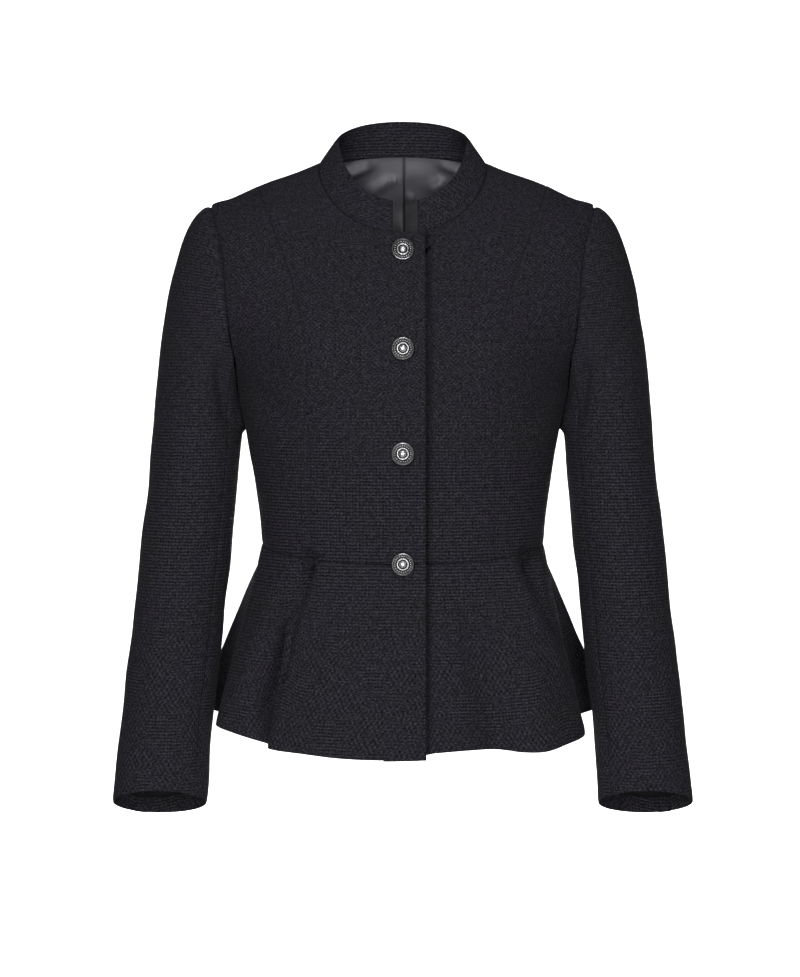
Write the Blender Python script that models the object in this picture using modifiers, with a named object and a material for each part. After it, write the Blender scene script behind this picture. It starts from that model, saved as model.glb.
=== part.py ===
"""Peplum jacket: a hollow fitted jacket with a stand collar, a waist seam, a flared peplum
and two-piece sleeves, as it stands when it is filled out with nobody in it.

+Z is up and the front faces -Y. The origin is midway between the two side-neck points, where
the shoulders carry the jacket. The wearer's right is at -X, and the right front laps over the left.
Every cut piece is a closed wall of cloth whose outer skin is worked out from level rings, and
neighbours keep a sewing gap. Lengths in the tables are millimetres.
"""

import math
from collections import namedtuple

import bmesh
import bpy
import numpy as np

MM = 0.001

# Cloth
CLOTH = 2.0
COLLAR_CLOTH = 2.6
LINING = 1.0
SEAM_GAP = 0.3
HALF_GAP = SEAM_GAP / 2

# Closure
LAP = 21.0              # how far each front passes the centre front
LAP_DEPTH = 2.7         # how much deeper the lower front lies
LAP_FLAT = 24.0         # the lower front is at its full depth inside this width
LAP_EASE = 62.0         # and back on the form at this width
UNDER_NECK_DROP = 2.2   # the hidden corner of the lower front stops this far below the neckline
COLLAR_END_RIGHT = 10.0 # from the centre front to the collar's end on the right front
COLLAR_END_LEFT = 15.0  # and on the left front
COLLAR_NEXT = 4.0       # from a collar end to its next column of points
COLLAR_UPRIGHT = 60.0   # the collar's columns stand upright within this angle of the centre front
HIDDEN_EASE = 6.0       # the left neckline drops over this width

# Buttons
BUTTON_RADIUS = 10.8
BUTTON_LIFT = 2.4       # from the cloth to the back of the disc
SHANK_RADIUS = 3.0
BUTTON_HEIGHTS = (-82.6, -176.2, -275.1, -380.6)
BUTTON_STEPS = 22
SEAM_STEP = 0.4         # the lowest button stands this much further out, over the waist seam
CENTRE_FRONT_ROW = 0.53 # where the centre front lies between the first rows of a peplum table

# Body rings, from the waist seam up over the shoulder to the neckline. The ring goes from the
# centre front round the side to the centre back; squareness 2 is an ellipse. The levels are the
# waist seam 0, midriff 1, under the bust 2, underarm 3, chest 4, shoulder tip 5 and neckline 7.
Ring = namedtuple("Ring", "level front_z side_z back_z half_width front_y side_y back_y squareness")
BODY = (
    Ring(0, -380.5, -366.0, -370.0, 137.0, -104.0, -6.0, 88.0, 2.25),
    Ring(1, -318.0, -312.0, -316.0, 142.6, -109.0, -5.0, 93.0, 2.30),
    Ring(2, -250.0, -250.0, -252.0, 153.9, -116.0, -3.0, 102.0, 2.45),
    Ring(3, -178.0, -222.0, -196.0, 160.0, -115.0, 0.0, 110.0, 2.60),
    Ring(4, -122.0, -135.0, -132.0, 198.0, -93.0, 3.0, 110.0, 2.40),
    Ring(5, -91.0, -36.3, -56.0, 186.0, -74.5, 5.0, 96.0, 2.30),
    Ring(5.35, -85.2, -29.6, -40.5, 167.6, -71.0, 4.3, 90.0, 2.28),
    Ring(6, -77.0, -17.2, -17.0, 134.0, -65.5, 3.0, 78.0, 2.25),
    Ring(7, -65.5, 0.0, 16.0, 82.0, -58.5, 0.0, 62.0, 2.20),
)
COLLAR_TOP = Ring(8, -36.0, 27.0, 45.5, 63.0, -54.0, 5.0, 55.0, 2.20)
RING_DIP = 1.25         # how sharply a ring leaves its side height
UNDERARM = 3
TIP = 5
NECK = 7

# Bust shaping that the princess seams give
BUST_OUT = 13.0
BUST_X = 86.0
BUST_Z = -178.0
BUST_WIDTH = 40.0
BUST_HEIGHT = 58.0

# Seams on the body: how far from the centre each one lies at a level
Cut = namedtuple("Cut", "level x")
PRINCESS = (
    Cut(0, 88.0), Cut(1, 91.5), Cut(2, 95.5), Cut(3, 97.2), Cut(3.5, 100.6), Cut(4, 105.0),
    Cut(4.5, 110.0), Cut(5, 117.0), Cut(5.5, 123.5), Cut(5.75, 128.0), Cut(5.92, 138.6),
)
PRINCESS_TOP = 5.92
ARMHOLE_FRONT = (
    Cut(3, 160.0), Cut(3.25, 161.5), Cut(3.5, 166.5), Cut(4, 173.5), Cut(4.5, 179.5),
    Cut(4.85, 184.3), Cut(5, 186.0),
)
ARMHOLE_BACK = (
    Cut(3, 160.0), Cut(3.25, 162.5), Cut(3.5, 168.5), Cut(4, 178.0), Cut(4.5, 183.0),
    Cut(4.85, 185.4), Cut(5, 186.0),
)

# Levels of the rows of points
SIDE_SEAM_LEVELS = (0, 0.5, 1, 1.5, 2, 2.5, 3)
ARMHOLE_LEVELS = (3.03, 3.12, 3.25, 3.42, 3.65, 3.9, 4.15, 4.4, 4.65, 4.85, 5)
PRINCESS_LEVELS = (
    0, 0.5, 1, 1.5, 2, 2.4, 2.75, 3, 3.2, 3.4, 3.65, 3.9, 4.15, 4.4, 4.7, 5, 5.45, PRINCESS_TOP,
)
FRONT_NECK_LEVELS = (6.3, 6.65, NECK)
BACK_SHOULDER_LEVELS = (5.5, 6, 6.5, NECK)
LINING_BOTTOM = 3.65
LINING_TOP = NECK - 0.03
FRONT_COLUMNS = 10
SIDE_COLUMNS = 6
BACK_COLUMNS = 9

# Sleeve sections from the biceps to the cuff; tilt lifts the front edge, in degrees
Section = namedtuple("Section", "x y z half_width half_depth tilt")
SLEEVE = (
    Section(199.3, 3.0, -252.0, 43.8, 60.0, 0.0),
    Section(204.0, -1.0, -305.0, 43.4, 56.5, 3.0),
    Section(210.1, -8.0, -364.0, 44.3, 52.5, 8.0),
    Section(215.8, -18.5, -423.0, 44.0, 49.0, 12.0),
    Section(221.7, -31.5, -482.0, 44.4, 46.0, 16.0),
    Section(228.0, -45.5, -541.0, 44.3, 43.0, 19.0),
    Section(234.0, -60.0, -613.5, 45.8, 38.0, 24.0),
)
SLEEVE_LEVELS = (0.5, 1, 1.5, 2, 2.5, 3, 3.5, 4, 4.5, 5, 5.62, 6)
SLEEVE_LINING_LEVELS = (4.5, 5, 5.62)
CAP_STEPS = (0.0, 0.1, 0.24, 0.42, 0.62, 0.82)
CAP_OUT = 18.0          # how far the cap swells outwards as it leaves the shoulder
CAP_FORWARD = 4.0       # how far it swells to the front and back
CAP_FALL = (8.0, 16.0, 2.0)  # how far it falls: everywhere, more in front and behind, more inside
CAP_HANG = 7.5          # how far in its outside line still is when it nears the biceps
CAP_STRAIGHT = 0.48     # the share of its drop over which it arrives straight
SAME_WAY = 0.15         # walls whose normals agree by more than this end in one plane
COLLAR_ROWS = (0.0, 0.5, 1.0)
FRONT_SEAM_INDEX = 8    # armhole points from the tip, down the front, to the front sleeve seam
BACK_SEAM_INDEX = 15    # and on round the underarm to the back sleeve seam
FRONT_SEAM_ANGLE = 140.0
BACK_SEAM_ANGLE = 235.0
BACK_SEAM_CUFF_ANGLE = 300.0

# Peplum hem: where the cloth that leaves the waist at an angle from the centre front ends up, and
# how late it leaves the plain flare on its way down: 1 is straight from the waist
Hem = namedtuple("Hem", "angle x y z growth")
PEPLUM_RIGHT = (
    Hem(9.0, -21.0, -149.5, -560.0, 1.0), Hem(-8.0, 20.0, -150.0, -560.5, 1.0),
    Hem(-24.0, 60.0, -147.5, -559.0, 1.0), Hem(-36.0, 95.0, -139.0, -555.8, 1.1),
    Hem(-42.0, 119.0, -128.0, -554.0, 1.25), Hem(-45.0, 128.5, -117.5, -553.0, 1.4),
    Hem(-48.0, 118.0, -108.5, -556.0, 1.5), Hem(-51.5, 100.0, -101.0, -559.5, 1.5),
    Hem(-55.0, 103.0, -91.0, -559.0, 1.4), Hem(-61.0, 130.0, -85.5, -552.5, 1.2),
    Hem(-70.0, 160.0, -76.0, -544.5, 1.0), Hem(-80.0, 180.0, -59.0, -538.5, 1.0),
    Hem(-86.0, 175.0, -34.0, -536.0, 1.0), Hem(-92.0, 169.0, -8.0, -535.0, 1.0),
)
PEPLUM_LEFT = (
    Hem(9.0, -21.0, -146.0, -554.6, 1.0), Hem(-8.0, 20.0, -146.0, -554.6, 1.0),
    Hem(-23.0, 60.0, -136.0, -553.2, 1.0), Hem(-34.0, 88.0, -117.0, -554.2, 1.0),
    Hem(-44.0, 112.0, -125.0, -556.0, 1.0), Hem(-53.0, 136.0, -124.0, -555.5, 1.0),
    Hem(-62.0, 157.0, -106.0, -550.5, 1.0), Hem(-72.0, 174.5, -79.0, -545.5, 1.0),
    Hem(-80.0, 173.0, -45.0, -539.0, 1.0), Hem(-92.0, 169.0, -8.0, -535.0, 1.0),
)
PEPLUM_BACK = (
    Hem(-92.0, 169.0, -8.0, -535.0, 1.0), Hem(-101.0, 190.0, 26.0, -532.5, 0.9),
    Hem(-110.0, 203.0, 54.0, -532.5, 0.8), Hem(-119.0, 187.0, 85.0, -535.0, 0.9),
    Hem(-128.0, 157.0, 102.0, -537.0, 1.0), Hem(-138.0, 132.0, 131.0, -538.0, 1.0),
    Hem(-148.0, 104.0, 160.0, -539.0, 1.0), Hem(-158.0, 72.0, 158.0, -540.0, 1.0),
    Hem(-168.0, 42.0, 141.0, -540.5, 1.0), Hem(-180.0, 0.0, 154.0, -540.5, 1.0),
)
HEM_BASE_WIDTH = 181.0  # the plain flare that the folds swing about
HEM_BASE_DEPTH = 140.0
HEM_BASE_Z = -556.0
HEM_BASE_RISE = 18.0
PEPLUM_LEVELS = (0, 0.14, 0.3, 0.46, 0.62, 0.78, 0.9, 1)
HEM_STEPS = 2           # points for each row of the hem tables


def bend(t, start, end, start_slope, end_slope):
    """A cubic from start, at t = 0, to end, at t = 1, with the slopes that it has there."""
    return (
        (2 * t**3 - 3 * t**2 + 1) * start + (t**3 - 2 * t**2 + t) * start_slope
        + (3 * t**2 - 2 * t**3) * end + (t**3 - t**2) * end_slope
    )


def between(rows, where):
    """A row read between evenly spaced rows, on a curve that passes through each of them."""
    last = len(rows) - 1
    low = min(max(math.floor(where), 0), last - 1)
    start, end = (np.array(rows[i], float) for i in (low, low + 1))
    before = np.array(rows[low - 1], float) if low > 0 else 2 * start - end
    after = np.array(rows[low + 2], float) if low + 2 <= last else 2 * end - start
    return bend(where - low, start, end, (end - before) / 2, (after - start) / 2)


def shared_slope(one, other):
    """The harmonic mean of two slopes where they have one sign, and level where they don't."""
    agree = one * other > 0
    return np.where(agree, 2 * one * other / np.where(agree, one + other, 1.0), 0.0)


def at_level(rows, level):
    """A row read at a level, which is its first column. The curve passes through each row and
    never runs past one that is higher or lower than both its neighbours."""
    table = np.array(rows, float)
    slopes = np.diff(table, axis=0) / np.diff(table[:, 0])[:, None]
    low = int(min(max(np.searchsorted(table[:, 0], level, side="right") - 1, 0), len(slopes) - 1))
    start_slope = shared_slope(slopes[low - 1], slopes[low]) if low > 0 else slopes[low]
    end_slope = shared_slope(slopes[low], slopes[low + 1]) if low + 1 < len(slopes) else slopes[low]
    width = table[low + 1, 0] - table[low, 0]
    t = (level - table[low, 0]) / width
    return bend(t, table[low], table[low + 1], start_slope * width, end_slope * width)


def cut_x(table, level):
    """Distance from the centre of a seam at a level."""
    return at_level(table, level)[1]


def ease(t):
    t = min(max(t, 0.0), 1.0)
    return t * t * (3 - 2 * t)


def unit(vector):
    return vector / max(np.linalg.norm(vector), 1e-12)


def on_ring(ring, angle):
    """A point of a level ring at an angle from the centre front."""
    sine = math.sin(angle)
    reach = max(1 - abs(sine) ** ring.squareness, 0.0) ** (1 / ring.squareness)
    front = math.cos(angle) >= 0
    far_y, far_z = (ring.front_y, ring.front_z) if front else (ring.back_y, ring.back_z)
    return np.array([
        ring.half_width * sine,
        ring.side_y + (far_y - ring.side_y) * reach,
        ring.side_z + (far_z - ring.side_z) * reach**RING_DIP,
    ])


def body_point(angle, level):
    """The outer skin of the body, with the bust pushed out in front."""
    point = on_ring(Ring(*at_level(BODY, level)), angle)
    if math.cos(angle) > 0:
        across = (abs(point[0]) - BUST_X) / BUST_WIDTH
        up = (point[2] - BUST_Z) / BUST_HEIGHT
        point[1] -= BUST_OUT * math.exp(-across**2 - up**2) * min(1.0, 4 * math.cos(angle))
    return point


def collar_point(angle, height):
    """The collar between the neckline, at height 0, and its top edge, at height 1."""
    base = body_point(angle, NECK)
    top = on_ring(COLLAR_TOP, angle)
    return base + (top - base) * height


def surface_normal(surface, angle, level):
    """The outward normal of a surface at a place on it."""
    step = 1e-3
    across = surface(angle + step, level) - surface(angle - step, level)
    up = surface(angle, level + step) - surface(angle, level - step)
    return unit(np.cross(across, up))


def width_at(level):
    return Ring(*at_level(BODY, level)).half_width


def angle_at(x, level):
    return math.asin(min(max(x / width_at(level), -1.0), 1.0))


def lap_depth(x):
    """How far inside the form the left front lies at a distance from the centre."""
    return LAP_DEPTH * ease((LAP_EASE - x) / (LAP_EASE - LAP_FLAT))


def princess_angle(level):
    if level >= PRINCESS_TOP:
        return math.pi / 2
    return angle_at(cut_x(PRINCESS, level), level)


def armhole_angle(table, level):
    """Where the armhole crosses a level, between the underarm and the shoulder tip."""
    if level <= UNDERARM or level >= TIP:
        return math.pi / 2
    return angle_at(cut_x(table, level), level)


def places_between(left, right, columns):
    """Evenly spaced (angle, level) places from one edge place to the other."""
    return [
        (left[0] + (right[0] - left[0]) * i / columns, left[1] + (right[1] - left[1]) * i / columns)
        for i in range(columns + 1)
    ]


def grid_on(surface, places, depth=None):
    """Outer points and normals at rows of places, pushed in by a depth that x gives."""
    points = np.array([[surface(*place) for place in row] for row in places])
    normals = np.array([[surface_normal(surface, *place) for place in row] for row in places])
    if depth:
        for index in np.ndindex(points.shape[:2]):
            points[index] = points[index] - normals[index] * depth(points[index][0])
    return points, normals


def seam_inset(points, rows=True, columns=True):
    """Vectors that draw a grid's edges in by half the sewing gap."""
    inset = np.zeros_like(points)
    if columns:
        for edge, inner in ((0, 1), (-1, -2)):
            for row in range(len(points)):
                inset[row, edge] += unit(points[row, inner] - points[row, edge])
    if rows:
        for edge, inner in ((0, 1), (-1, -2)):
            for column in range(points.shape[1]):
                inset[edge, column] += unit(points[inner, column] - points[edge, column])
    return inset * HALF_GAP


def material(name, colour, roughness, metallic=0.0):
    made = bpy.data.materials.new(name)
    made.use_nodes = True
    shader = made.node_tree.nodes["Principled BSDF"]
    shader.inputs["Base Color"].default_value = (*colour, 1.0)
    shader.inputs["Roughness"].default_value = roughness
    shader.inputs["Metallic"].default_value = metallic
    made.diffuse_color = (*colour, 1.0)
    return made


CLOTH_COLOUR = (0.021, 0.0205, 0.024)
LINING_COLOUR = (0.075, 0.075, 0.083)
SILVER_COLOUR = (0.42, 0.42, 0.42)


def cloth_material(name):
    return material(name + "_cloth", CLOTH_COLOUR, 0.85)


def lining_material(name):
    return material(name + "_satin", LINING_COLOUR, 0.45)


def wall(name, outer, inner, finish, ring=False):
    """A closed wall between two grids of points. A ring's last column meets its first."""
    rows, columns = outer.shape[:2]
    mesh = bmesh.new()
    skins = [
        [[mesh.verts.new(point * MM) for point in row] for row in skin] for skin in (outer, inner)
    ]
    across = columns if ring else columns - 1
    for skin in skins:
        for r in range(rows - 1):
            for c in range(across):
                n = (c + 1) % columns
                mesh.faces.new((skin[r][c], skin[r][n], skin[r + 1][n], skin[r + 1][c]))
    for r in (0, rows - 1):
        for c in range(across):
            n = (c + 1) % columns
            mesh.faces.new((skins[0][r][c], skins[0][r][n], skins[1][r][n], skins[1][r][c]))
    if not ring:
        for c in (0, columns - 1):
            for r in range(rows - 1):
                mesh.faces.new((skins[0][r][c], skins[0][r + 1][c], skins[1][r + 1][c], skins[1][r][c]))
    bmesh.ops.recalc_face_normals(mesh, faces=mesh.faces)
    bmesh.ops.triangulate(mesh, faces=mesh.faces)
    data = bpy.data.meshes.new(name)
    mesh.to_mesh(data)
    mesh.free()
    data.shade_smooth()
    data.set_sharp_from_angle(angle=math.radians(40))
    data.materials.append(finish)
    made = bpy.data.objects.new(name, data)
    bpy.context.scene.collection.children["peplum_jacket"].objects.link(made)
    return made


def mirrored(points, side):
    return points * np.array([side, 1.0, 1.0])


def cloth_panel(name, points, normals, side, thickness=CLOTH, start=0.0, finish=cloth_material):
    """A cut piece whose outer skin is at a depth below the form and whose edges are seams."""
    inset = seam_inset(points)
    outer = points - normals * start + inset
    inner = points - normals * (start + thickness) + inset
    return wall(name, mirrored(outer, side), mirrored(inner, side), finish(name))


def armhole_places():
    """The armhole from the shoulder tip down the front, round the underarm and up the back."""
    front = [(armhole_angle(ARMHOLE_FRONT, level), level) for level in reversed(ARMHOLE_LEVELS)]
    back = [(math.pi - armhole_angle(ARMHOLE_BACK, level), level) for level in ARMHOLE_LEVELS[:-1]]
    return front + [(math.pi / 2, UNDERARM)] + back


def sleeve_angle(index, drop):
    """The angle round a sleeve section of an armhole point's column: 0 is outside, 90 in front.
    The back seam swings outwards as drop goes from 0 at the biceps to 1 at the cuff."""
    back = BACK_SEAM_ANGLE + (BACK_SEAM_CUFF_ANGLE - BACK_SEAM_ANGLE) * drop
    count = 2 * len(ARMHOLE_LEVELS)
    knots = ((0, 0.0), (FRONT_SEAM_INDEX, FRONT_SEAM_ANGLE), (BACK_SEAM_INDEX, back), (count, 360.0))
    for (i0, a0), (i1, a1) in zip(knots, knots[1:]):
        if i0 <= index <= i1:
            return math.radians(a0 + (a1 - a0) * (index - i0) / (i1 - i0))


def sleeve_section_point(level, angle):
    section = Section(*between(SLEEVE, level))
    tilt = math.radians(section.tilt)
    forward = section.half_depth * math.sin(angle)
    return np.array([
        section.x + section.half_width * math.cos(angle),
        section.y - forward * math.cos(tilt),
        section.z + forward * math.sin(tilt),
    ])


def cap_point(start, angle, t):
    """A point of the sleeve cap, on a curve from the armhole down to the biceps section."""
    end = sleeve_section_point(0, angle)
    cosine = math.cos(angle)
    sine = math.sin(angle)
    everywhere, beside, inside = CAP_FALL
    fall = everywhere + beside * sine**2 + inside * (1 - cosine)
    lead = np.array([CAP_OUT * (1 + cosine), -CAP_FORWARD * sine, -fall])
    arrive = np.array([-CAP_HANG * max(cosine, 0.0), 0.0, CAP_STRAIGHT * (start[2] - end[2])])
    return (
        (1 - t) ** 3 * start + 3 * (1 - t) ** 2 * t * (start + lead)
        + 3 * (1 - t) * t**2 * (end + arrive) + t**3 * end
    )


def sleeve_grid():
    """Outer points and normals of a whole sleeve, one row from the armhole and one to the cuff."""
    starts = [body_point(*place) for place in armhole_places()]
    count = len(starts)
    rows = [
        [cap_point(starts[i], sleeve_angle(i, 0), t) for i in range(count)] for t in CAP_STEPS
    ]
    rows.append([sleeve_section_point(0, sleeve_angle(i, 0)) for i in range(count)])
    last = SLEEVE_LEVELS[-1]
    for level in SLEEVE_LEVELS:
        drop = ease(level / last)
        rows.append([sleeve_section_point(level, sleeve_angle(i, drop)) for i in range(count)])
    points = np.array(rows)
    along = np.gradient(points, axis=0)
    around = np.roll(points, -1, axis=1) - np.roll(points, 1, axis=1)
    normals = np.cross(along, around)
    normals /= np.linalg.norm(normals, axis=2, keepdims=True)
    outside = normals[-1, 0][0]
    return points, normals * np.sign(outside)


def armhole_join(points, normals):
    """How the body and the sleeve end at each armhole point: for each side, the vector from the
    shared point to its own outer edge and the vector on to its inner edge. Across the shoulder
    both walls end in one plane, and under the arm they turn down side by side."""
    joins = []
    places = armhole_places()
    for i, place in enumerate(places):
        body_normal = surface_normal(body_point, *place)
        sleeve_normal = normals[0, i]
        agree = float(np.dot(body_normal, sleeve_normal))
        aside = HALF_GAP * (1 - agree) / 2
        shared = unit(body_normal + sleeve_normal) if agree > SAME_WAY else None
        pair = []
        for normal in (body_normal, sleeve_normal):
            inwards = normal if shared is None else shared / np.dot(shared, normal)
            pair.append((-aside * normal, -CLOTH * inwards))
        joins.append(pair)
    return joins


def make_fronts(side_joins):
    """The fronts, lapped at the centre, and the side fronts beyond the princess seams."""
    for side, name in ((-1, "right"), (1, "left")):
        depth = lap_depth if side > 0 else None
        places = []
        for level in PRINCESS_LEVELS + FRONT_NECK_LEVELS:
            edge = (angle_at(-LAP, level), level)
            places.append(places_between(edge, (princess_angle(level), level), FRONT_COLUMNS))
        points, normals = grid_on(body_point, places, depth)
        if side > 0:
            drop_hidden_corner(points)
        cloth_panel("front_" + name, points, normals, side)

        places = []
        edges = [(math.pi / 2, level) for level in SIDE_SEAM_LEVELS]
        edges += [(armhole_angle(ARMHOLE_FRONT, level), level) for level in ARMHOLE_LEVELS]
        for level, edge in zip(PRINCESS_LEVELS, edges):
            places.append(places_between((princess_angle(level), level), edge, SIDE_COLUMNS))
        points, normals = grid_on(body_point, places)
        first = len(SIDE_SEAM_LEVELS) - 1
        joins = [side_joins[len(ARMHOLE_LEVELS) - j] for j in range(len(ARMHOLE_LEVELS) + 1)]
        armhole_panel("side_front_" + name, points, normals, side, first, joins)


def drop_hidden_corner(points):
    """Lowers the left front's neckline where the right front covers it."""
    for row in (-1, -2):
        for column in range(points.shape[1]):
            hidden = ease((COLLAR_END_LEFT - points[row, column][0]) / HIDDEN_EASE)
            toward = unit(points[row - 1, column] - points[row, column])
            points[row, column] = points[row, column] + toward * UNDER_NECK_DROP * hidden


def armhole_panel(name, points, normals, side, first, joins, last_column=-1):
    """A body piece whose last column runs up the side seam and then along the armhole."""
    inset = seam_inset(points)
    outer = points + inset
    inner = points - normals * CLOTH + inset
    for j, pair in enumerate(joins):
        aside, inwards = pair[0]
        row = first + j
        outer[row, last_column] = points[row, last_column] + inset[row, last_column] + aside
        inner[row, last_column] = outer[row, last_column] + inwards
    return wall(name, mirrored(outer, side), mirrored(inner, side), cloth_material(name))


def back_places(levels):
    """Rows of places on half the back, from the centre seam out to its edge."""
    rows = []
    for level in levels:
        edge = math.pi - armhole_angle(ARMHOLE_BACK, level)
        rows.append(places_between((math.pi, level), (edge, level), BACK_COLUMNS))
    return rows


def make_backs(side_joins):
    levels = SIDE_SEAM_LEVELS + ARMHOLE_LEVELS + BACK_SHOULDER_LEVELS
    points, normals = grid_on(body_point, back_places(levels))
    first = len(SIDE_SEAM_LEVELS) - 1
    count = len(ARMHOLE_LEVELS)
    joins = [side_joins[(count + j) % (2 * count)] for j in range(count + 1)]
    for side, name in ((-1, "right"), (1, "left")):
        armhole_panel("back_" + name, points, normals, side, first, joins)


def make_back_lining():
    """The satin lining inside the back, from the neckline to a hem below the shoulder blades."""
    levels = [level for level in ARMHOLE_LEVELS if level >= LINING_BOTTOM]
    levels += [*BACK_SHOULDER_LEVELS[:-1], LINING_TOP]
    half = [row[:-1] for row in back_places(levels)]
    places = [[(-angle, level) for angle, level in reversed(row[1:])] + row for row in half]
    points, normals = grid_on(body_point, places)
    inset = seam_inset(points)
    start = CLOTH + SEAM_GAP
    outer = points - normals * start + inset
    inner = points - normals * (start + LINING) + inset
    wall("back_lining", outer, inner, lining_material("back_lining"))


def make_sleeves(points, normals, side_joins):
    """Two-piece sleeves: the upper piece goes over the outside and the under piece inside."""
    count = points.shape[1]
    inward = np.empty_like(points)
    inward[:] = -CLOTH * normals
    aside = np.zeros_like(points)
    for i, pair in enumerate(side_joins):
        aside[0, i], inward[0, i] = pair[1]
    upper = [i % count for i in range(BACK_SEAM_INDEX, count + FRONT_SEAM_INDEX + 1)]
    under = list(range(FRONT_SEAM_INDEX, BACK_SEAM_INDEX + 1))
    for side, name in ((-1, "right"), (1, "left")):
        for piece, columns in (("upper", upper), ("under", under)):
            outer = points[:, columns] + aside[:, columns]
            outer = outer + seam_inset(points[:, columns])
            inner = outer + inward[:, columns]
            full = "sleeve_" + piece + "_" + name
            wall(full, mirrored(outer, side), mirrored(inner, side), cloth_material(full))

        head = len(CAP_STEPS) + 1
        rows = [head + SLEEVE_LEVELS.index(level) for level in SLEEVE_LINING_LEVELS]
        outer = points[rows] - normals[rows] * (CLOTH + SEAM_GAP)
        inner = outer - normals[rows] * LINING
        full = "sleeve_lining_" + name
        wall(full, mirrored(outer, side), mirrored(inner, side), lining_material(full), ring=True)


def hem_curve(table):
    """Rows along a hem table, closer together than the table's own."""
    count = (len(table) - 1) * HEM_STEPS
    return [Hem(*between(table, i / HEM_STEPS)) for i in range(count + 1)]


def peplum_surface(place, drop):
    """The peplum between the waist seam, at drop 0, and its hem, at drop 1."""
    angle = math.radians(-place.angle)
    waist = body_point(angle, 0)
    hem = np.array([place.x, place.y, place.z])
    base = np.array([
        HEM_BASE_WIDTH * math.sin(angle),
        -HEM_BASE_DEPTH * math.cos(angle),
        HEM_BASE_Z + HEM_BASE_RISE * math.sin(angle) ** 2,
    ])
    return waist + (base - waist) * drop + (hem - base) * drop**place.growth


def peplum_grid(table):
    """Outer points and normals for x > 0, from the front edge towards the back."""
    places = hem_curve(table)
    points = np.array([[peplum_surface(place, drop) for place in places] for drop in PEPLUM_LEVELS])
    down = np.gradient(points, axis=0)
    along = np.gradient(points, axis=1)
    normals = np.cross(down, along)
    normals /= np.linalg.norm(normals, axis=2, keepdims=True)
    return points, normals


def make_peplum():
    """The peplum fronts, lapped like the fronts above them, and the one-piece peplum back."""
    right = peplum_grid(PEPLUM_RIGHT)
    left = peplum_grid(PEPLUM_LEFT)
    back = peplum_grid(PEPLUM_BACK)
    for points, normals in (right, left, back):
        seam = unit(right[1][:, -1] + back[1][:, 0])
        normals[:, 0 if points is back[0] else -1] = seam / np.linalg.norm(seam, axis=1, keepdims=True)
    for index in np.ndindex(left[0].shape[:2]):
        left[0][index] = left[0][index] - left[1][index] * lap_depth(left[0][index][0])
    cloth_panel("peplum_front_right", *right, -1)
    cloth_panel("peplum_front_left", *left, 1)
    points, normals = back
    normals[:, -1, 0] = 0.0
    flip = np.array([-1.0, 1.0, 1.0])
    points = np.concatenate([points, (points * flip)[:, -2::-1]], axis=1)
    normals = np.concatenate([normals, (normals * flip)[:, -2::-1]], axis=1)
    cloth_panel("peplum_back", points, normals, 1)


def collar_angle(base_angle, height):
    """Keeps a column of the collar upright near its front ends, where the rings differ in width."""
    sine = math.sin(base_angle) * width_at(NECK) / COLLAR_TOP.half_width
    if math.cos(base_angle) <= 0 or abs(sine) >= 1:
        return base_angle
    near = ease(1.0 - abs(base_angle) / math.radians(COLLAR_UPRIGHT))
    upright = math.asin(sine)
    return base_angle + (upright - base_angle) * near * height


def front_neck_angles(end):
    """Columns of a front half of the collar, from its end to the shoulder, as the fronts have them."""
    edge = (angle_at(-LAP, NECK), 0)
    columns = [angle for angle, _ in places_between(edge, (math.pi / 2, 0), FRONT_COLUMNS)]
    return [angle_at(end, NECK)] + [a for a in columns if a > angle_at(end + COLLAR_NEXT, NECK)]


def make_collar():
    """The stand collar, from its end on the right front round the back to its end on the left."""
    right = front_neck_angles(COLLAR_END_RIGHT)
    left = front_neck_angles(COLLAR_END_LEFT)
    back = [math.pi / 2 * (1 + i / BACK_COLUMNS) for i in range(1, 2 * BACK_COLUMNS)]
    angles = [-a for a in right + back] + [a - 2 * math.pi for a in reversed(left)]
    points = []
    normals = []
    for height in COLLAR_ROWS:
        row = []
        row_normals = []
        for angle in angles:
            turned = (angle + math.pi) % (2 * math.pi) - math.pi
            here = collar_angle(turned, height)
            point = collar_point(here, height)
            normal = surface_normal(collar_point, here, height)
            if height == 0.0:
                normal = unit(normal + surface_normal(body_point, here, NECK))
            if math.cos(here) > 0 and point[0] > 0:
                point = point - normal * lap_depth(point[0])
            row.append(point)
            row_normals.append(normal)
        points.append(row)
        normals.append(row_normals)
    cloth_panel("collar", np.array(points), np.array(normals), 1, COLLAR_CLOTH)


def button_profile():
    """Half a section of a button, from the top of its centre out, down and in to the shank."""
    lift = BUTTON_LIFT
    r = BUTTON_RADIUS
    return (
        (0.0, lift + 3.3), (2.6, lift + 2.9), (4.2, lift + 2.0), (5.1, lift + 2.7), (6.0, lift + 2.0),
        (8.6, lift + 2.0), (9.4, lift + 3.1), (r - 0.2, lift + 2.7), (r, lift + 1.4),
        (r - 1.4, lift), (SHANK_RADIUS, lift), (SHANK_RADIUS, SEAM_GAP), (0.0, SEAM_GAP),
    )


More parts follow.
